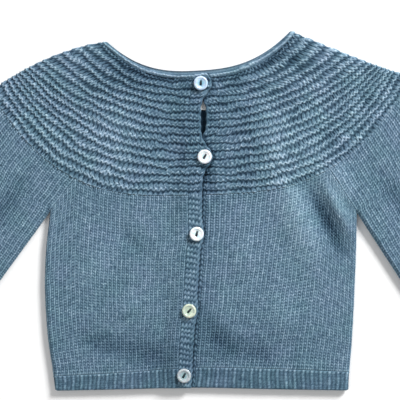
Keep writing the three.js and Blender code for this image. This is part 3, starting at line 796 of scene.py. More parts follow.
def knit(name, courses, seed, lean=None, thin=(4, 6), inside=0.3, shaded=1.0):
    """A shell of knitting from its courses.

    Lean says how many rows a place across a stitch (0 to 1) is shifted upwards, which draws
    the slanted legs of plain stitches. Thin is how many rows and columns the inner skin skips,
    inside is its depth of colour, low values giving it painted shade, and shaded says how strongly
    the painted shade of the folds darkens the piece; below nought it turns to painted light.
    """
    unevenness = bpy.context.scene.cardigan_knit.unevenness
    rng = np.random.default_rng(seed)
    walked = [walk_course(course.stretches) for course in courses]
    if lean is not None:
        walked = leaned(walked, lean)
    shell = Shell(name)
    size = (int(max(c.along for c in courses)) + 2, int(max(w.place[-1] for w in walked)) + 2)
    chances = np.clip(rng.normal(0, 1, size), -2, 2)
    shifts = rng.uniform(-1, 1, size)
    outer = []
    height_so_far = 0.0
    before = walked[0].points
    for course, (points, normals, s, place, shown, under, drop, shade) in zip(courses, walked):
        number = np.minimum(place.astype(int), size[1] - 1)
        chance = chances[int(course.along)][number]
        by_stitch = STITCH_SHIFT * shifts[int(course.along)][number]
        shift = unevenness * (SLOW_SHIFT * sway(s, course.along) + by_stitch)
        across = (place + SIDEWAYS * unevenness * sway(place * 2, course.along / 2.5)) % 1.0
        share = course.pattern(across, course.along + shift, points)
        fuzz = rng.normal(0, 1, len(s))
        uneven = unevenness * (HEIGHT_BY_STITCH * chance + HEIGHT_BY_POINT * fuzz)
        lift = share * shown * course.height * (1 + uneven)
        lift -= under * course.height * UNDERSIDE_PRESS + np.maximum(drop, course.drop)
        height_so_far += float(np.median(np.linalg.norm(points[:1] - before[:1], axis=1)))
        before = points
        flat = np.column_stack([s, np.full(len(s), height_so_far)]) * MM
        # Depth of colour follows the raised share: painted shade between the stitches, painted highlight on
        # top
        depth = np.clip(share * (1 + DEPTH_BY_POINT * unevenness * fuzz), 0, 1)
        depth = depth * (COVERED_DEPTH + (1 - COVERED_DEPTH) * shown)
        if course is courses[0] or course is courses[-1]:
            depth = np.maximum(depth, SEAM_DEPTH)
        # Painted shade is stronger in the low places between the stitches than on top of them, and the tone
        # attribute multiplies it with the yarn's random unevenness of tone
        shade = shaded * shade * (1.6 - 1.2 * np.clip(share, -0.5, 1))
        tone = (1 - shade) * (1 + unevenness * (TONE_BY_STITCH * chance + TONE_BY_POINT * fuzz))
        outer.append(shell.add(points + normals * lift[:, None], depth, tone, flat))
    inner = inner_rows(shell, walked, thin, inside)
    shell.close(outer, inner)
    return shell


def inner_rows(shell, walked, thin, inside):
    """Plain inner skin: its two end lines in full and fewer points between them."""

    def add(spots, reach):
        return shell.add(spots, inside, 1.0, np.column_stack([reach, spots[:, 1]]) * MM)

    lines = []
    for end in (0, -1):
        spots = np.array([w.points[end] - w.normals[end] * WALL for w in walked])
        lines.append(add(spots, [w.reach[end] for w in walked]))
    kept = [walked[row] for row in every(len(walked), thin[0])]
    count = max(min(len(w.points) for w in kept) // thin[1], 3)
    middle = []
    for w in kept:
        picked = np.unique(np.linspace(0, len(w.points) - 1, count).round().astype(int))[1:-1]
        middle.append(add((w.points - w.normals * WALL)[picked], w.reach[picked]))
    return lines[0], middle, lines[1]


def leaned(walked, lean):
    """Courses with each column shifted along the knitting, but for the first and last rows."""
    rows = len(walked)
    points = np.stack([w.points for w in walked])
    normals = np.stack([w.normals for w in walked])
    shift = lean(walked[0].place % 1.0)
    number = np.arange(rows)
    ramp = np.minimum(number, rows - 1 - number) / max(shift.max() * 2, 1)
    target = number[:, None] + shift[None] * np.clip(ramp, 0, 1)[:, None]
    low = np.clip(np.floor(target).astype(int), 0, rows - 2)
    t = (target - low)[:, :, None]
    column = np.arange(points.shape[1])[None]
    new_points = mix(points[low, column], points[low + 1, column], t)
    new_normals = mix(normals[low, column], normals[low + 1, column], t)
    return [w._replace(points=new_points[r], normals=new_normals[r]) for r, w in enumerate(walked)]


# Patterns of stitches: the raised share (0 to 1) at places across a stitch and along the courses,
# summed from soft bells and waves whose middles and widths are shares of a stitch or a course;
# the share also sets the painted shade and highlight of the yarn


def bell(x, middle, width):
    return np.exp(-(((x - middle) / width) ** 2))


def plain_stitch(across, along, points):
    """A column of plain stitches: one leg runs on high with a painted highlight, and dark dots of painted
    shade part the other ones.
    """
    course = np.sin(np.pi * along) ** 2
    bright = bell(across, 0.3, 0.17) * (0.46 + 0.4 * course)
    dotted = bell(across, 0.78, 0.2) * (0.06 + 0.72 * course)
    return 0.065 + 0.9 * np.maximum(bright, dotted)


def rib_stitch(across, along, points):
    """A rib that stands up as a narrow crest between flat furrows, with a row of beads on top."""
    course = np.sin(np.pi * along) ** 2
    crest = bell(across, 0.5, 0.1) + 0.5 * (bell(across, 0, 0.09) + bell(across, 1, 0.09))
    legs = np.sin(4 * np.pi * across) ** 2 * (0.3 + 0.7 * course)
    top = smoothstep(along, RIB_COURSES - 0.95, RIB_COURSES - 0.4) * np.cos(2 * np.pi * across) ** 2
    return 0.12 + 0.42 * crest * (0.76 + 0.24 * course) + 0.18 * legs + 0.26 * top


def ridge_stitch(across, along, points):
    """A purl ridge over drawn-out plain stitches, as in the yoke.

    The ridges are rows of beads in the middle of the front and open zigzags at the sides.
    """
    x, y = points[:, 0], points[:, 1]
    open_knit = smoothstep(np.abs(x), 8, 68)
    wave = np.cos(2 * np.pi * (across - 0.5))
    wobble = np.sin(x / 2.7 + y / 4.3) + np.sin(x / 4.9 - y / 3.1)
    v = (along + 0.035 * wobble) % 1.0
    zigzag = v + mix(0.09, 0.14, open_knit) * wave
    away = np.minimum(np.abs(zigzag - 0.21), np.abs(zigzag - 1.21))
    knots = np.cos(4 * np.pi * across + 2 * wobble)
    ridge = np.exp(-((away / mix(0.14, 0.13, open_knit)) ** 2))
    ridge = ridge * mix(0.6 + 0.2 * wave + 0.16 * knots, 0.94, open_knit)
    uneven_bead = 0.64 + 0.28 * np.cos(2 * np.pi * (across + 0.1)) - 0.18 * knots
    beads = 0.2 + 0.56 * bell(v + 0.04 * wave, 0.78, 0.17) * uneven_bead
    legs = 0.08 + 0.56 * np.abs(np.sin(2 * np.pi * across))
    hole = bell(zigzag, mix(0.48, 0.56, open_knit), mix(0.1, 0.22, open_knit))
    between = mix(0.6 - 0.5 * wave, 0.32 + 0.68 * np.cos(np.pi * across) ** 2, open_knit)
    share = np.clip(np.maximum(ridge, mix(beads, legs, open_knit)) - 0.7 * hole * between, 0, 1)
    return share - 0.6 * bell(along, 0.0, 0.24)


def garter_stitch(across, along, points):
    """Rows of purl beads, which slope down to the edge of the band."""
    slope = 0.5 * (points[:, 0] - front_line(points[:, 1])) / BAND_WIDTH
    ridge = np.abs(np.sin(np.pi * (along + slope + 0.14 * np.cos(2 * np.pi * across)))) ** 1.3
    return 0.08 + ridge * (0.5 + 0.14 * np.cos(2 * np.pi * (across - 0.5)))


def cord_stitch(across, along, points):
    """The rolled edge round the neck: a cord of slanted loops inside a thin lip."""
    slant = np.cos(2 * np.pi * (across + 0.9 * along))
    return 0.22 + 0.74 * bell(along, 0.56, 0.2) * (0.78 + 0.22 * slant)


def v_lean(rows_per_course):
    """A lean that slants the two legs of each plain stitch to a V."""
    return lambda across: rows_per_course * np.abs(2 * across - 1)


# Materials


class Nodes:
    """Short way to make and join the nodes of a material."""

    def __init__(self, name):
        self.material = bpy.data.materials.new(name)
        self.material.use_nodes = True
        self.tree = self.material.node_tree
        self.shader = self.tree.nodes["Principled BSDF"]

    def add(self, kind, inputs=(), **settings):
        node = self.tree.nodes.new(kind)
        for key, value in settings.items():
            setattr(node, key, value)
        for key, value in dict(inputs).items():
            if isinstance(value, bpy.types.NodeSocket):
                self.tree.links.new(value, node.inputs[key])
            else:
                node.inputs[key].default_value = value
        return node

    def ramp(self, fac, stops):
        node = self.add("ShaderNodeValToRGB", {"Fac": fac})
        elements = node.color_ramp.elements
        while len(elements) < len(stops):
            elements.new(0.5)
        for element, (position, rgb) in zip(elements, stops):
            element.position = position
            element.color = (*rgb, 1)
        return node.outputs["Color"]

    def multiply(self, a, b):
        node = self.add("ShaderNodeMix", {"Factor": 1.0, 6: a, 7: b}, data_type="RGBA", blend_type="MULTIPLY")
        return node.outputs[2]

    def set(self, **inputs):
        for key, value in inputs.items():
            name = key.replace("_", " ")
            if isinstance(value, bpy.types.NodeSocket):
                self.tree.links.new(value, self.shader.inputs[name])
            else:
                self.shader.inputs[name].default_value = value


def wool():
    """Heathered wool: painted shade between the stitches and a painted highlight on top, darkened by the
    painted shade of folds and uneven in tone, with plies and short fibres.
    """
    made = bpy.data.materials.get("heathered wool")
    if made:
        return made
    look = bpy.context.scene.cardigan_yarn
    n = Nodes("heathered wool")
    depth = n.add("ShaderNodeAttribute", attribute_name="depth").outputs["Fac"]
    tone = n.add("ShaderNodeAttribute", attribute_name="tone").outputs["Fac"]
    place = n.add("ShaderNodeTexCoord").outputs["Object"]
    fibre = n.add("ShaderNodeTexNoise", {"Vector": place, "Scale": 1500, "Detail": 4, "Roughness": 0.7})
    cloud = n.add("ShaderNodeTexNoise", {"Vector": place, "Scale": 420, "Detail": 5, "Roughness": 0.75})
    wide = n.add("ShaderNodeTexNoise", {"Vector": place, "Scale": 55, "Detail": 3})
    uv = n.add("ShaderNodeUVMap", uv_map="cloth").outputs["UV"]
    turned = n.add("ShaderNodeMapping", {"Vector": uv, "Rotation": (0, 0, math.radians(28))})
    ply = n.add(
        "ShaderNodeTexWave",
        {"Vector": turned.outputs["Vector"], "Scale": 420, "Distortion": 2.0, "Detail": 2},
        bands_direction="X",
    )
    stray = n.add("ShaderNodeMath", {0: fibre.outputs["Fac"], 1: 0.5}, operation="SUBTRACT")
    stray = n.add("ShaderNodeMath", {0: stray.outputs[0], 1: 0.5}, operation="MULTIPLY")
    level = n.add("ShaderNodeMath", {0: depth, 1: stray.outputs[0]}, operation="ADD")
    # Painted shade between the stitches, the yarn's own colour, and a painted highlight on top
    base = n.ramp(level.outputs[0], [(0.0, look.shade), (0.4, look.body), (1.0, look.light)])
    heather = n.ramp(cloud.outputs["Fac"], HEATHER)
    broad = n.ramp(wide.outputs["Fac"], BROAD_HEATHER)
    parts = [n.add("ShaderNodeMath", {0: tone, 1: power}, operation="POWER") for power in TONE_POWERS]
    grey = n.add("ShaderNodeCombineColor", {k: part.outputs[0] for k, part in enumerate(parts)}).outputs[0]
    rgb = n.multiply(n.multiply(n.multiply(base, heather), broad), grey)
    rough = n.add("ShaderNodeMath", {0: ply.outputs["Fac"], 1: 0.6}, operation="MULTIPLY")
    rough = n.add("ShaderNodeMath", {0: rough.outputs[0], 1: fibre.outputs["Fac"]}, operation="ADD")
    bump = n.add("ShaderNodeBump", {"Strength": 0.35, "Distance": 0.00012, "Height": rough.outputs[0]})
    n.set(Base_Color=rgb, Roughness=0.92, Normal=bump.outputs["Normal"])
    n.set(Sheen_Weight=0.14, Sheen_Roughness=0.4, Sheen_Tint=(0.55, 0.75, 0.9, 1), Specular_IOR_Level=0.08)
    return n.material


# Pieces


def knit_piece(name, nodes, courses, seed, **how):
    """Knit a piece in place of the solids that it stands for."""
    obj = knit(name, courses, seed, **how).build(wool(), "wool_knit")
    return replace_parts(obj, *nodes)


def lay_flat(obj, sizes):
    """Unpack the width, height and average height to which a piece was knitted; nothing is done with them."""
    width, height, average = sizes


def rows_of(count, per_course):
    """Places of the mesh rows along so many courses."""
    return np.arange(count * per_course + 1) / per_course


def round_course(left, back, right, stitches, detail, skews=(None, None, None)):
    """Stretches from the left front's edge round the back to the edge of the right front."""
    return [
        Stretch(left, 1, stitches[0], detail[0], end=0, level=over_lift, skew=skews[0]),
        Stretch(back, -1, stitches[1], detail[1], start=0, end=0, skew=skews[1]),
        Stretch(right, 1, stitches[2], detail[0], start=0, cover=uncovered, skew=skews[2]),
    ]


def tube_course(line, stitches, detail, angle):
    """Stretches over the front of a sleeve or a cuff and back under it."""
    return [
        Stretch(line, 1, stitches, detail[0], start=angle, end=0),
        Stretch(line[::-1], -1, stitches, detail[1], start=0, end=angle),
    ]


def body_top(start, end):
    """Upper edge of a body piece: up the raglan line from the underarm, then along the yoke."""
    left, right, edge = sleeve_corners("left"), sleeve_corners("right"), Ring("front", 1)
    first = edge.at_x(left["raglan"][0]) if start == "side" else edge.meet(start)
    last = edge.at_x(right["raglan"][0]) if end == "side" else edge.meet(end)
    points = edge.between(first, last)
    if start == "side":
        points = np.vstack([straight(left["underarm"], left["raglan"], 8)[:-1], points])
    if end == "side":
        points = np.vstack([points, straight(right["raglan"], right["underarm"], 8)[1:]])
    return points


def body_patch(start, end, shares):
    """Plan rows of a body layer between two upright edges."""
    edges = {"left": side_fold("left"), "right": side_fold("right")}
    start_edge, end_edge = edges.get(start, start), edges.get(end, end)
    upper = body_top("side" if start == "left" else start, "side" if end == "right" else end)
    lower = across_between(start_edge, end_edge, hem_high)
    sides = [upright(e, lower[k][1], upper[k][1]) for e, k in ((start_edge, 0), (end_edge, -1))]
    return patch(lower, upper, *sides, shares)


def knit_rows(lines, places, pattern, height, edge_first=False):
    """Courses at equal places along the knitting, of which the first may be an edge."""
    made = []
    for row, (stretches, along) in enumerate(zip(lines, places)):
        edge = row * EDGE_RADIUS / 2 if edge_first else EDGE_RADIUS
        made.append(Course(stretches, along, pattern, height, min(edge, EDGE_RADIUS)))
    return made


def knit_body():
    sizes = bpy.context.scene.cardigan_knit
    places = rows_of(BODY_COURSES, 2)
    shares = places / BODY_COURSES
    left = body_patch("left", over_seam, shares)
    back = body_patch("left", "right", shares)
    right = body_patch(under_seam, "right", shares)
    lines = [
        round_course(a[::-1], b, c[::-1], BODY_STITCHES, PLAIN_DETAIL, (0, 0, RIGHT_FRONT_SKEW * share))
        for a, b, c, share in zip(left, back, right, shares)
    ]
    courses = knit_rows(lines, places, plain_stitch, sizes.stitch_height / MM)
    nodes = ("body_front_left", "body_front_right", "body_back")
    body = knit_piece("body", nodes, courses, seed=3, lean=v_lean(1))
    lay_flat(body, FLAT_SIZES["body"])


def ring_lines(share, over, under):
    """Plan lines of a ring: left front from its edge to the fold, back, and right front."""
    front, back = Ring("front", share), Ring("back", share)
    left = front.between(-1, front.meet(over))[::-1]
    right = front.between(front.meet(under), 1)[::-1]
    return left, back.between(-1, 1), right


def stitches_in(lines, width):
    """How many stitches or ribs of a width go into each of some plan lines."""
    return [round(reach_of(line)[-1] / width) for line in lines]


def knit_yoke(trim):
    sizes = bpy.context.scene.cardigan_knit
    height = sizes.ridge_height / MM
    courses = []
    for ridge in range(YOKE_RIDGES):
        middle = mix(TRIM_SHARE, 1, (ridge + 0.5) / YOKE_RIDGES)
        width = sizes.yoke_stitch_width / MM * mix(NECK_GATHER, 1, middle)
        stitches = stitches_in(ring_lines(middle, over_seam, under_seam), width)
        for row in YOKE_ROWS + ((1.0,) if ridge == YOKE_RIDGES - 1 else ()):
            lines = ring_lines(mix(TRIM_SHARE, 1, (ridge + row) / YOKE_RIDGES), over_seam, under_seam)
            stretches = round_course(*lines, stitches, YOKE_DETAIL)
            courses.append(Course(stretches, ridge + row, ridge_stitch, height))
    nodes = ("yoke_front_left", "yoke_front_right", "yoke_back")
    # The yoke's inner skin takes the darkest colour, as painted shade where it shows through the gap between
    # the fronts
    yoke = knit_piece("yoke", nodes, courses, seed=5, thin=(8, 8), inside=0.0)
    lay_flat(yoke, FLAT_SIZES["yoke"])


def knit_neck_trim():
    stitches = stitches_in(ring_lines(0, over_edge, under_edge), TRIM_STITCH_WIDTH)
    courses = []
    for place in rows_of(1, TRIM_ROWS):
        lines = ring_lines(place * TRIM_SHARE, over_edge, under_edge)
        stretches = round_course(*lines, stitches, TRIM_DETAIL)
        stretches[0].free, stretches[-1].free = "start", "end"
        courses.append(Course(stretches, place, cord_stitch, TRIM_HEIGHT, place * TRIM_WIDTH))
    nodes = ("neck_trim_front_left", "neck_trim_front_right", "neck_trim_back")
    return knit_piece("neck_trim", nodes, courses, seed=7, thin=(4, 4), inside=0.5, shaded=TRIM_SHADING)


def knit_hem():
    sizes = bpy.context.scene.cardigan_knit
    places = rows_of(RIB_COURSES, RIB_ROWS)
    edges = (side_fold("left"), side_fold("right"))

    def rows(start, end):
        lower, upper = (across_between(start, end, height) for height in (hem_low, hem_high))
        sides = [upright(e, lower[k][1], upper[k][1]) for e, k in ((start, 0), (end, -1))]
        lines = patch(lower, upper, *sides, places / RIB_COURSES)
        lines[-1][:, 1] += SEAM / 2
        return lines

    left, back, right = rows(edges[0], over_seam), rows(*edges), rows(under_seam, edges[1])
    ribs = stitches_in((left[0], back[0], right[0]), sizes.rib_width / MM)
    lines = [round_course(a[::-1], b, c[::-1], ribs, RIB_DETAIL) for a, b, c in zip(left, back, right)]
    courses = knit_rows(lines, places, rib_stitch, sizes.rib_height / MM, True)
    nodes = ("hem_front_left", "hem_front_right", "hem_back")
    lay_flat(knit_piece("hem", nodes, courses, seed=11, thin=RIB_THIN), FLAT_SIZES["hem"])


def sleeve_rows(side, shares):
    """Plan rows of a sleeve layer from its end to the yoke, and where the underarm lies."""
    c = sleeve_corners(side)
    sign = SIDES[side]["sign"]
    lower = straight(*c["end"])
    upper = c["edge"].between(c["edge"].at_x(c["raglan"][0]), sign)
    inner = np.vstack([straight(c["end"][0], c["underarm"])[:-1], straight(c["underarm"], c["raglan"])])
    a, b, d = c["outer"]
    t = np.linspace(0, 1, 60)[:, None]
    outer = mix(mix(a, b, t), mix(b, d, t), t)
    total = reach_of(inner)[-1]
    return patch(lower, upper, inner, outer, shares), SLEEVE_LENGTH / total, total


def knit_sleeve(side):
    sizes = bpy.context.scene.cardigan_knit
    places = rows_of(SLEEVE_COURSES, 2)
    plan, underarm, total = sleeve_rows(side, places / SLEEVE_COURSES)
    lines = []
    for line, share in zip(plan, places / SLEEVE_COURSES):
        past = min(max((share - underarm) * total, 0), FOLD_RADIUS)
        angle = max(math.acos(1 - past / FOLD_RADIUS), SEAM_ANGLE)
        lines.append(tube_course(line, SLEEVE_STITCHES, PLAIN_DETAIL, angle))
    courses = knit_rows(lines, places, plain_stitch, sizes.stitch_height / MM)
    nodes = (f"sleeve_{side}_front", f"sleeve_{side}_back")
    sleeve = knit_piece(f"sleeve_{side}", nodes, courses, seed=13, lean=v_lean(1))
    lay_flat(sleeve, FLAT_SIZES["sleeve"])


def knit_cuff(side):
    sizes = bpy.context.scene.cardigan_knit
    c = sleeve_corners(side)
    places = rows_of(RIB_COURSES, RIB_ROWS)
    lower, upper = straight(*c["cuff_end"]), straight(*c["end"])
    sides = [straight(c["cuff_end"][k], c["end"][k]) for k in (0, 1)]
    plan = patch(lower, upper, *sides, places / RIB_COURSES)
    ribs = round(CUFF_WIDTH / (sizes.rib_width / MM))
    lines = [tube_course(line, ribs, RIB_DETAIL, SEAM_ANGLE) for line in plan]
    courses = knit_rows(lines, places, rib_stitch, sizes.rib_height / MM, True)
    nodes = (f"cuff_{side}_front", f"cuff_{side}_back")
    cuff = knit_piece(f"cuff_{side}", nodes, courses, seed=17, thin=RIB_THIN)
    lay_flat(cuff, FLAT_SIZES["cuff"])


def selvedge(pattern, edge, inward):
    """A pattern that gives way to a smooth edge stitch at a free edge of the cloth."""

    def edged(across, along, points):
        distance = (edge(points[:, 1]) - points[:, 0]) * inward
        share = smoothstep(distance, SELVEDGE - 0.5, SELVEDGE + 0.3)
        smooth = 0.38 + 0.1 * np.cos(2 * np.pi * along)
        return mix(smooth, pattern(across, along, points), share)

    return edged


def knit_band(name, start, end, over):
    """Button band: garter stitch up to the yoke, whose own ridges run on across it.

    It is knitted from the hem's lower edge to the neck trim.
    """
    sizes = bpy.context.scene.cardigan_knit
    foot = Ring("front", 1)
    level = (lambda x, y: np.full(np.shape(x), OVERLAP_LIFT)) if over else no_lift
    cover = None if over else uncovered
    edge, inward, free = (over_edge, 1, "end") if over else (under_edge, -1, "start")
    garter, ridges = (selvedge(p, edge, inward) for p in (garter_stitch, ridge_stitch))

    def course(line, stitches, along, pattern, height, edge_distance=EDGE_RADIUS):
        bump = EDGE_BUMP * math.sin(2 * math.pi * along)
        line[-1 if over else 0] += (bump if over else -bump, 0)
        detail = BAND_COLUMNS // stitches
        stretch = Stretch(line, 1, stitches, detail, level=level, cover=cover, free=free)
        return Course([stretch], along, pattern, height, edge_distance)

    def foot_height(x):
        return foot.points(foot.at_x(x))[:, 1]

    count = round((float(foot_height(0)[0]) - float(hem_low(0))) / BAND_RIDGE_PITCH)
    courses = []
    for along in rows_of(count, BAND_ROWS)[:-1]:
        line = across_between(start, end, lambda x: mix(hem_low(x), foot_height(x), along / count), 12)
        away = min(along * BAND_RIDGE_PITCH, EDGE_RADIUS)
        courses.append(course(line, GARTER_STITCHES, along, garter, sizes.bead_height / MM, away))
    for place in sorted((r + v for r in range(YOKE_RIDGES) for v in YOKE_ROWS), reverse=True):
        ring = Ring("front", mix(TRIM_SHARE, 1, place / YOKE_RIDGES))
        line = ring.between(ring.meet(start), ring.meet(end), 24)
        courses.append(course(line, RIDGE_STITCHES, place, ridges, sizes.ridge_height / MM))
    band = knit_piece(f"button_{name}", (name,), courses, seed=19 if over else 23, thin=(6, 8))
    lay_flat(band, (BAND_WIDTH, BAND_LENGTH, BAND_LENGTH))


# Add-on


class CARDIGAN_OT_body(bpy.types.Operator):
    """Knit the body in plain stitch, in one piece round the sides"""

    bl_idname = "cardigan.body"
    bl_label = "Knit Body"

    def execute(self, context):
        knit_body()
        return {"FINISHED"}


class CARDIGAN_OT_yoke(bpy.types.Operator):
    """Knit the round yoke with its purl ridges, and the trim round the neck"""

    bl_idname = "cardigan.yoke"
    bl_label = "Knit Yoke"

    def execute(self, context):
        knit_yoke(knit_neck_trim())
        return {"FINISHED"}


class CARDIGAN_OT_ribs(bpy.types.Operator):
    """Knit the ribbed hem and the two ribbed cuffs"""

    bl_idname = "cardigan.ribs"
    bl_label = "Knit Ribs"

    def execute(self, context):
        knit_hem()
        for side in SIDES:
            knit_cuff(side)
        return {"FINISHED"}


class CARDIGAN_OT_sleeves(bpy.types.Operator):
    """Knit the two sleeves in plain stitch"""

    bl_idname = "cardigan.sleeves"
    bl_label = "Knit Sleeves"

    def execute(self, context):
        for side in SIDES:
            knit_sleeve(side)
        return {"FINISHED"}


class CARDIGAN_OT_bands(bpy.types.Operator):
    """Knit the two garter bands that carry the buttons and the buttonholes"""

    bl_idname = "cardigan.bands"
    bl_label = "Knit Bands"

    def execute(self, context):
        knit_band("band_over", over_seam, over_edge, True)
        knit_band("band_under", under_edge, under_seam, False)
        return {"FINISHED"}


def shell_material(number, tint, hollow):
    """Polished shell with faint growth bands, tinted in the hollow middle of the button."""
    n = Nodes(f"shell {number}")
    place = n.add("ShaderNodeTexCoord").outputs["Object"]
    warp = n.add("ShaderNodeTexNoise", {"Vector": place, "Scale": 160, "Detail": 3})
    bands = n.add(
        "ShaderNodeTexWave",
        {"Vector": warp.outputs["Color"], "Scale": 1.6, "Distortion": 3.0, "Detail": 2},
    )
    pale = tuple(min(c * 1.12, 1) for c in tint)
    dull = tuple(c * f for c, f in zip(tint, (0.84, 0.9, 0.92)))
    rgb = n.ramp(bands.outputs["Fac"], [(0.2, dull), (0.55, tint), (0.85, pale)])
    dish = n.add("ShaderNodeAttribute", attribute_name="dish").outputs["Fac"]
    middle = n.ramp(dish, [(0.0, (1, 1, 1)), (1.0, hollow)])
    rgb = n.multiply(rgb, middle)
    n.set(Base_Color=rgb, Roughness=0.22, Coat_Weight=0.5, Coat_Roughness=0.08)
    n.set(Subsurface_Weight=0.1, Subsurface_Scale=0.001)
    return n.material


def thread_material():
    """Dark sewing thread with a fine twist."""
    made = bpy.data.materials.get("sewing thread")
    if made:
        return made
    n = Nodes("sewing thread")
    place = n.add("ShaderNodeTexCoord").outputs["Object"]
    twist = n.add("ShaderNodeTexWave", {"Vector": place, "Scale": 900, "Distortion": 1.5})
    base = bpy.context.scene.cardigan_yarn.thread
    rgb = n.ramp(twist.outputs["Fac"], [(0.2, base), (0.8, tuple(c * 1.6 for c in base))])
    bump = n.add("ShaderNodeBump", {"Strength": 0.5, "Distance": 0.0001, "Height": twist.outputs["Fac"]})
    n.set(Base_Color=rgb, Roughness=0.6, Normal=bump.outputs["Normal"], Specular_IOR_Level=0.2)
    return n.material


def link_mesh(name, bm, material):
    """A smooth Blender object from a finished mesh, riding on the root."""
    mesh = bpy.data.meshes.new(name)
    bm.to_mesh(mesh)
    bm.free()
    for polygon in mesh.polygons:
        polygon.use_smooth = True
    mesh.materials.append(material)
    obj = bpy.data.objects.new(name, mesh)
    bpy.context.collection.objects.link(obj)
    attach(obj, "root")
    return obj


def turned(count):
    """Directions in turn round a circle, as pairs of cosine and sine."""
    return [(math.cos(2 * math.pi * k / count), math.sin(2 * math.pi * k / count)) for k in range(count)]


def sew_button(number, spec):
    """Shell button with a raised rim and two holes, and the dark thread through them."""
    sizes = bpy.context.scene.cardigan_buttons
    low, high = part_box(f"button_{number}")
    middle = (np.array(low) + np.array(high)) / 2
    tilt = math.radians(spec["tilt"])
    radius = sizes.diameter / 2
    thick = sizes.thickness
    bm = bmesh.new()
    rings = []
    for r, z in BUTTON_PROFILE:
        ways = turned(1 if r == 0 else BUTTON_SIDES)
        rings.append([bm.verts.new((r * radius * x, r * radius * y, (z - 0.5) * thick)) for x, y in ways])
    for pair in zip(rings, rings[1:]):
        for k in range(BUTTON_SIDES):
            near, far = (ring if len(ring) == 1 else (ring[k], ring[(k + 1) % BUTTON_SIDES]) for ring in pair)
            bm.faces.new([*near, *reversed(far)])
    bmesh.ops.recalc_face_normals(bm, faces=bm.faces)
    shell = shell_material(number, spec["tint"], spec["hollow"])
    obj = link_mesh(f"shell_button_{number}", bm, shell)
    slope = math.radians(spec["holes"])
    apart = sizes.holes_apart / 2
    for way in (-1, 1):
        cut_hole(obj, way * apart * math.cos(slope), way * apart * math.sin(slope), sizes.hole / 2, thick)
    mark_dish(obj, radius)
    place_tilted(obj, middle, tilt)
    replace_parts(obj, f"button_{number}")
    thread = sew_thread(number, apart, slope, thick)
    place_tilted(thread, middle, tilt)


def mark_dish(obj, radius):
    """Mark how far each point lies in the hollow middle of its button."""
    points = np.array([vertex.co[:2] for vertex in obj.data.vertices])
    share = 1 - smoothstep(np.hypot(*points.T) / radius, DISH_INSIDE, DISH_OUTSIDE)
    obj.data.attributes.new("dish", "FLOAT", "POINT").data.foreach_set("value", share.astype(np.float32))


def cut_hole(obj, x, y, radius, thick):
    """Cut an upright round hole through a piece that lies flat round the origin."""
    bm = bmesh.new()
    bmesh.ops.create_cone(
        bm, cap_ends=True, segments=HOLE_SIDES, radius1=radius, radius2=radius, depth=thick * 3
    )
    bmesh.ops.translate(bm, verts=bm.verts, vec=(x, y, 0))
    mesh = bpy.data.meshes.new("hole")
    bm.to_mesh(mesh)
    bm.free()
    cutter = bpy.data.objects.new("hole", mesh)
    bpy.context.collection.objects.link(cutter)
    cut = obj.modifiers.new("hole", "BOOLEAN")
    cut.operation, cut.solver, cut.object = "DIFFERENCE", "EXACT", cutter
    depsgraph = bpy.context.evaluated_depsgraph_get()
    made = bpy.data.meshes.new_from_object(obj.evaluated_get(depsgraph))
    obj.modifiers.clear()
    old, obj.data = obj.data, made
    bpy.data.meshes.remove(old)
    bpy.data.objects.remove(cutter)
    bpy.data.meshes.remove(mesh)


def place_tilted(obj, middle, tilt):
    """Turn a piece's own mesh about the long axis of the cardigan and move it into place."""
    c, s = math.cos(tilt), math.sin(tilt)
    for vertex in obj.data.vertices:
        x, y, z = vertex.co
        vertex.co = (x * c + z * s + middle[0], y + middle[1], z * c - x * s + middle[2])


def sew_thread(number, apart, slope, thick):
    """Strands of thread that bridge the two holes and go down through them."""
    bm = bmesh.new()
    for strand in range(THREAD_STRANDS):
        side = (strand - (THREAD_STRANDS - 1) / 2) * THREAD_RADIUS * 1.5
        path = []
        for t in np.linspace(0, 1, THREAD_POINTS):
            along = apart * math.cos(math.pi * t)
            height = thick * (0.26 + 0.2 * math.sin(math.pi * t) ** 0.6)
            path.append((along, side * (0.5 + 0.5 * math.sin(math.pi * t)), height))
        down, up_again = ((*path[end][:2], -thick * 0.6) for end in (0, -1))
        path = [down, *path, up_again]
        rings = []
        for i, point in enumerate(path):
            a, b = np.array(path[max(i - 1, 0)]), np.array(path[min(i + 1, len(path) - 1)])
            ahead = (b - a) / np.linalg.norm(b - a)
            across = np.array([0.0, 1.0, 0.0])
            up = np.cross(ahead, across)
            spots = (np.array(point) + THREAD_RADIUS * (c * across + s * up) for c, s in turned(THREAD_SIDES))
            rings.append([bm.verts.new(spot) for spot in spots])
        for a, b in zip(rings, rings[1:]):
            for k in range(THREAD_SIDES):
                after = (k + 1) % THREAD_SIDES
                bm.faces.new((a[k], a[after], b[after], b[k]))
        bm.faces.new(rings[0][::-1])
        bm.faces.new(rings[-1])
    bmesh.ops.recalc_face_normals(bm, faces=bm.faces)
    c, s = math.cos(slope), math.sin(slope)
    for vertex in bm.verts:
        x, y, z = vertex.co
        vertex.co = (x * c - y * s, x * s + y * c, z)
    return link_mesh(f"button_thread_{number}", bm, thread_material())


class CARDIGAN_OT_buttons(bpy.types.Operator):
    """Make the shell buttons and sew them on with dark thread"""

    bl_idname = "cardigan.buttons"
    bl_label = "Sew Buttons"

    def execute(self, context):
        for number, spec in enumerate(BUTTONS, 1):
            sew_button(number, spec)
        return {"FINISHED"}


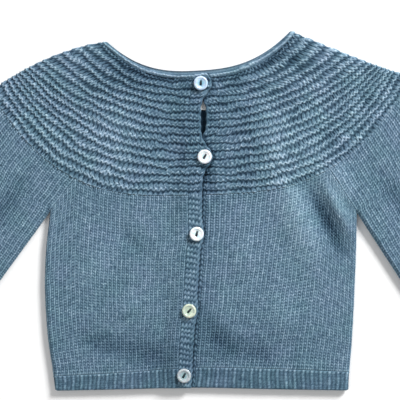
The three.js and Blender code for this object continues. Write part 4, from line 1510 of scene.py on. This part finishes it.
def tape_material():
    """Pale plain-woven tape."""
    n = Nodes("label tape")
    place = n.add("ShaderNodeTexCoord").outputs["Object"]
    warp = n.add("ShaderNodeTexWave", {"Vector": place, "Scale": 700}, bands_direction="X")
    weft = n.add("ShaderNodeTexWave", {"Vector": place, "Scale": 700}, bands_direction="Y")
    weave = n.add("ShaderNodeMath", {0: warp.outputs["Fac"], 1: weft.outputs["Fac"]}, operation="MULTIPLY")
    base = bpy.context.scene.cardigan_yarn.label
    rgb = n.ramp(weave.outputs[0], [(0.0, tuple(c * 0.86 for c in base)), (1.0, base)])
    bump = n.add("ShaderNodeBump", {"Strength": 0.4, "Distance": 0.0001, "Height": weave.outputs[0]})
    n.set(Base_Color=rgb, Roughness=0.6, Normal=bump.outputs["Normal"])
    return n.material


def sew_label():
    """Blank woven label, folded at its lower end."""
    low, high = (np.array(corner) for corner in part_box("neck_label"))
    bm = bmesh.new()
    thick = (high[2] - low[2]) * LABEL_WALL
    middle = (low[2] + high[2]) / 2
    half = (high[2] - low[2]) / 2
    loop = []
    for t in np.linspace(0, 1, LABEL_ROWS):
        loop.append((mix(high[1], low[1] + thick, t), high[2]))
    for q in np.linspace(0, math.pi, LABEL_FOLD_ROWS)[1:-1]:
        loop.append((low[1] + thick * (1 - math.sin(q)), middle + half * math.cos(q)))
    for t in np.linspace(1, 0, LABEL_ROWS):
        loop.append((mix(high[1], low[1] + thick, t), low[2]))
    across = [mix(low[0], high[0], c / LABEL_COLUMNS) for c in range(LABEL_COLUMNS + 1)]
    grid = [[bm.verts.new((x, y, z)) for x in across] for y, z in loop]
    for a, b in zip(grid, grid[1:] + grid[:1]):
        for c in range(LABEL_COLUMNS):
            bm.faces.new((a[c], a[c + 1], b[c + 1], b[c]))
    for c in (0, LABEL_COLUMNS):
        bm.faces.new([row[c] for row in grid])
    bmesh.ops.recalc_face_normals(bm, faces=bm.faces)
    obj = link_mesh("blank_label", bm, tape_material())
    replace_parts(obj, "neck_label")


class CARDIGAN_OT_label(bpy.types.Operator):
    """Sew the blank label inside the back of the neck"""

    bl_idname = "cardigan.label"
    bl_label = "Sew Label"

    def execute(self, context):
        sew_label()
        return {"FINISHED"}


def add_floor(settings):
    bpy.ops.mesh.primitive_plane_add(size=FLOOR_SIZE)
    floor = bpy.context.object
    floor.name = "floor"
    n = Nodes("pale floor")
    n.set(Base_Color=(*settings.floor, 1), Roughness=0.9, Specular_IOR_Level=0.1)
    floor.data.materials.append(n.material)
    floor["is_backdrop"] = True


def add_light(name, place, size, power):
    """A square soft light that points at the cardigan."""
    data = bpy.data.lights.new(name, "AREA")
    data.size = size
    data.energy = power
    light = bpy.data.objects.new(name, data)
    bpy.context.collection.objects.link(light)
    light.location = place
    light.rotation_euler = (-light.location).to_track_quat("-Z", "Y").to_euler()


def add_camera(settings):
    """Straight down on the middle of the photo's frame."""
    data = bpy.data.cameras.new("camera")
    data.sensor_width = SENSOR
    data.lens = SENSOR * settings.camera_height / settings.view_width
    camera = bpy.data.objects.new("camera", data)
    bpy.context.collection.objects.link(camera)
    camera.location = (*CAMERA_POINT, settings.camera_height + CLOTH_TOP)
    bpy.context.scene.camera = camera


class CARDIGAN_OT_studio(bpy.types.Operator):
    """Lay the pale floor and set up the soft light and the camera"""

    bl_idname = "cardigan.studio"
    bl_label = "Set Up Studio"

    def execute(self, context):
        settings = context.scene.cardigan_studio
        add_floor(settings)
        for name, light in LIGHTS.items():
            add_light(name, light["place"], light["size"], settings.key_power * light["share"])
        world = bpy.data.worlds.new("soft light")
        world.use_nodes = True
        background = world.node_tree.nodes["Background"]
        background.inputs["Color"].default_value = (1, 1, 1, 1)
        background.inputs["Strength"].default_value = settings.world_strength
        context.scene.world = world
        context.scene.view_settings.view_transform = "Standard"
        add_camera(settings)
        return {"FINISHED"}


class CARDIGAN_PT_panel(bpy.types.Panel):
    """Pieces of the cardigan, in the order they are made"""

    bl_label = "Baby Cardigan"
    bl_idname = "CARDIGAN_PT_panel"
    bl_space_type = "VIEW_3D"
    bl_region_type = "UI"
    bl_category = "Cardigan"

    def draw(self, context):
        layout = self.layout
        for operator in OPERATORS:
            layout.operator(operator.bl_idname)
        for group in SETTINGS:
            settings = getattr(context.scene, group)
            for name in settings.bl_rna.properties.keys():
                if name not in ("name", "rna_type"):
                    layout.prop(settings, name)


SETTINGS = {
    "cardigan_knit": KnitSizes,
    "cardigan_yarn": YarnLook,
    "cardigan_buttons": ButtonSizes,
    "cardigan_studio": StudioSettings,
}
OPERATORS = (
    CARDIGAN_OT_studio,
    CARDIGAN_OT_body,
    CARDIGAN_OT_yoke,
    CARDIGAN_OT_sleeves,
    CARDIGAN_OT_ribs,
    CARDIGAN_OT_bands,
    CARDIGAN_OT_label,
    CARDIGAN_OT_buttons,
)


def register():
    for cls in (*SETTINGS.values(), *OPERATORS, CARDIGAN_PT_panel):
        bpy.utils.register_class(cls)
    for name, group in SETTINGS.items():
        setattr(bpy.types.Scene, name, bpy.props.PointerProperty(type=group))


def unregister():
    for name in SETTINGS:
        delattr(bpy.types.Scene, name)
    for cls in reversed((*SETTINGS.values(), *OPERATORS, CARDIGAN_PT_panel)):
        bpy.utils.unregister_class(cls)


def main():
    register()
    for operator in OPERATORS:
        group, name = operator.bl_idname.split(".")
        getattr(getattr(bpy.ops, group), name)()
    boxes = {"cad": CAD_BOX, "visual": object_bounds()}
    plain = {key: [list(map(float, corner)) for corner in box] for key, box in boxes.items()}


if __name__ == "__main__":
    main()
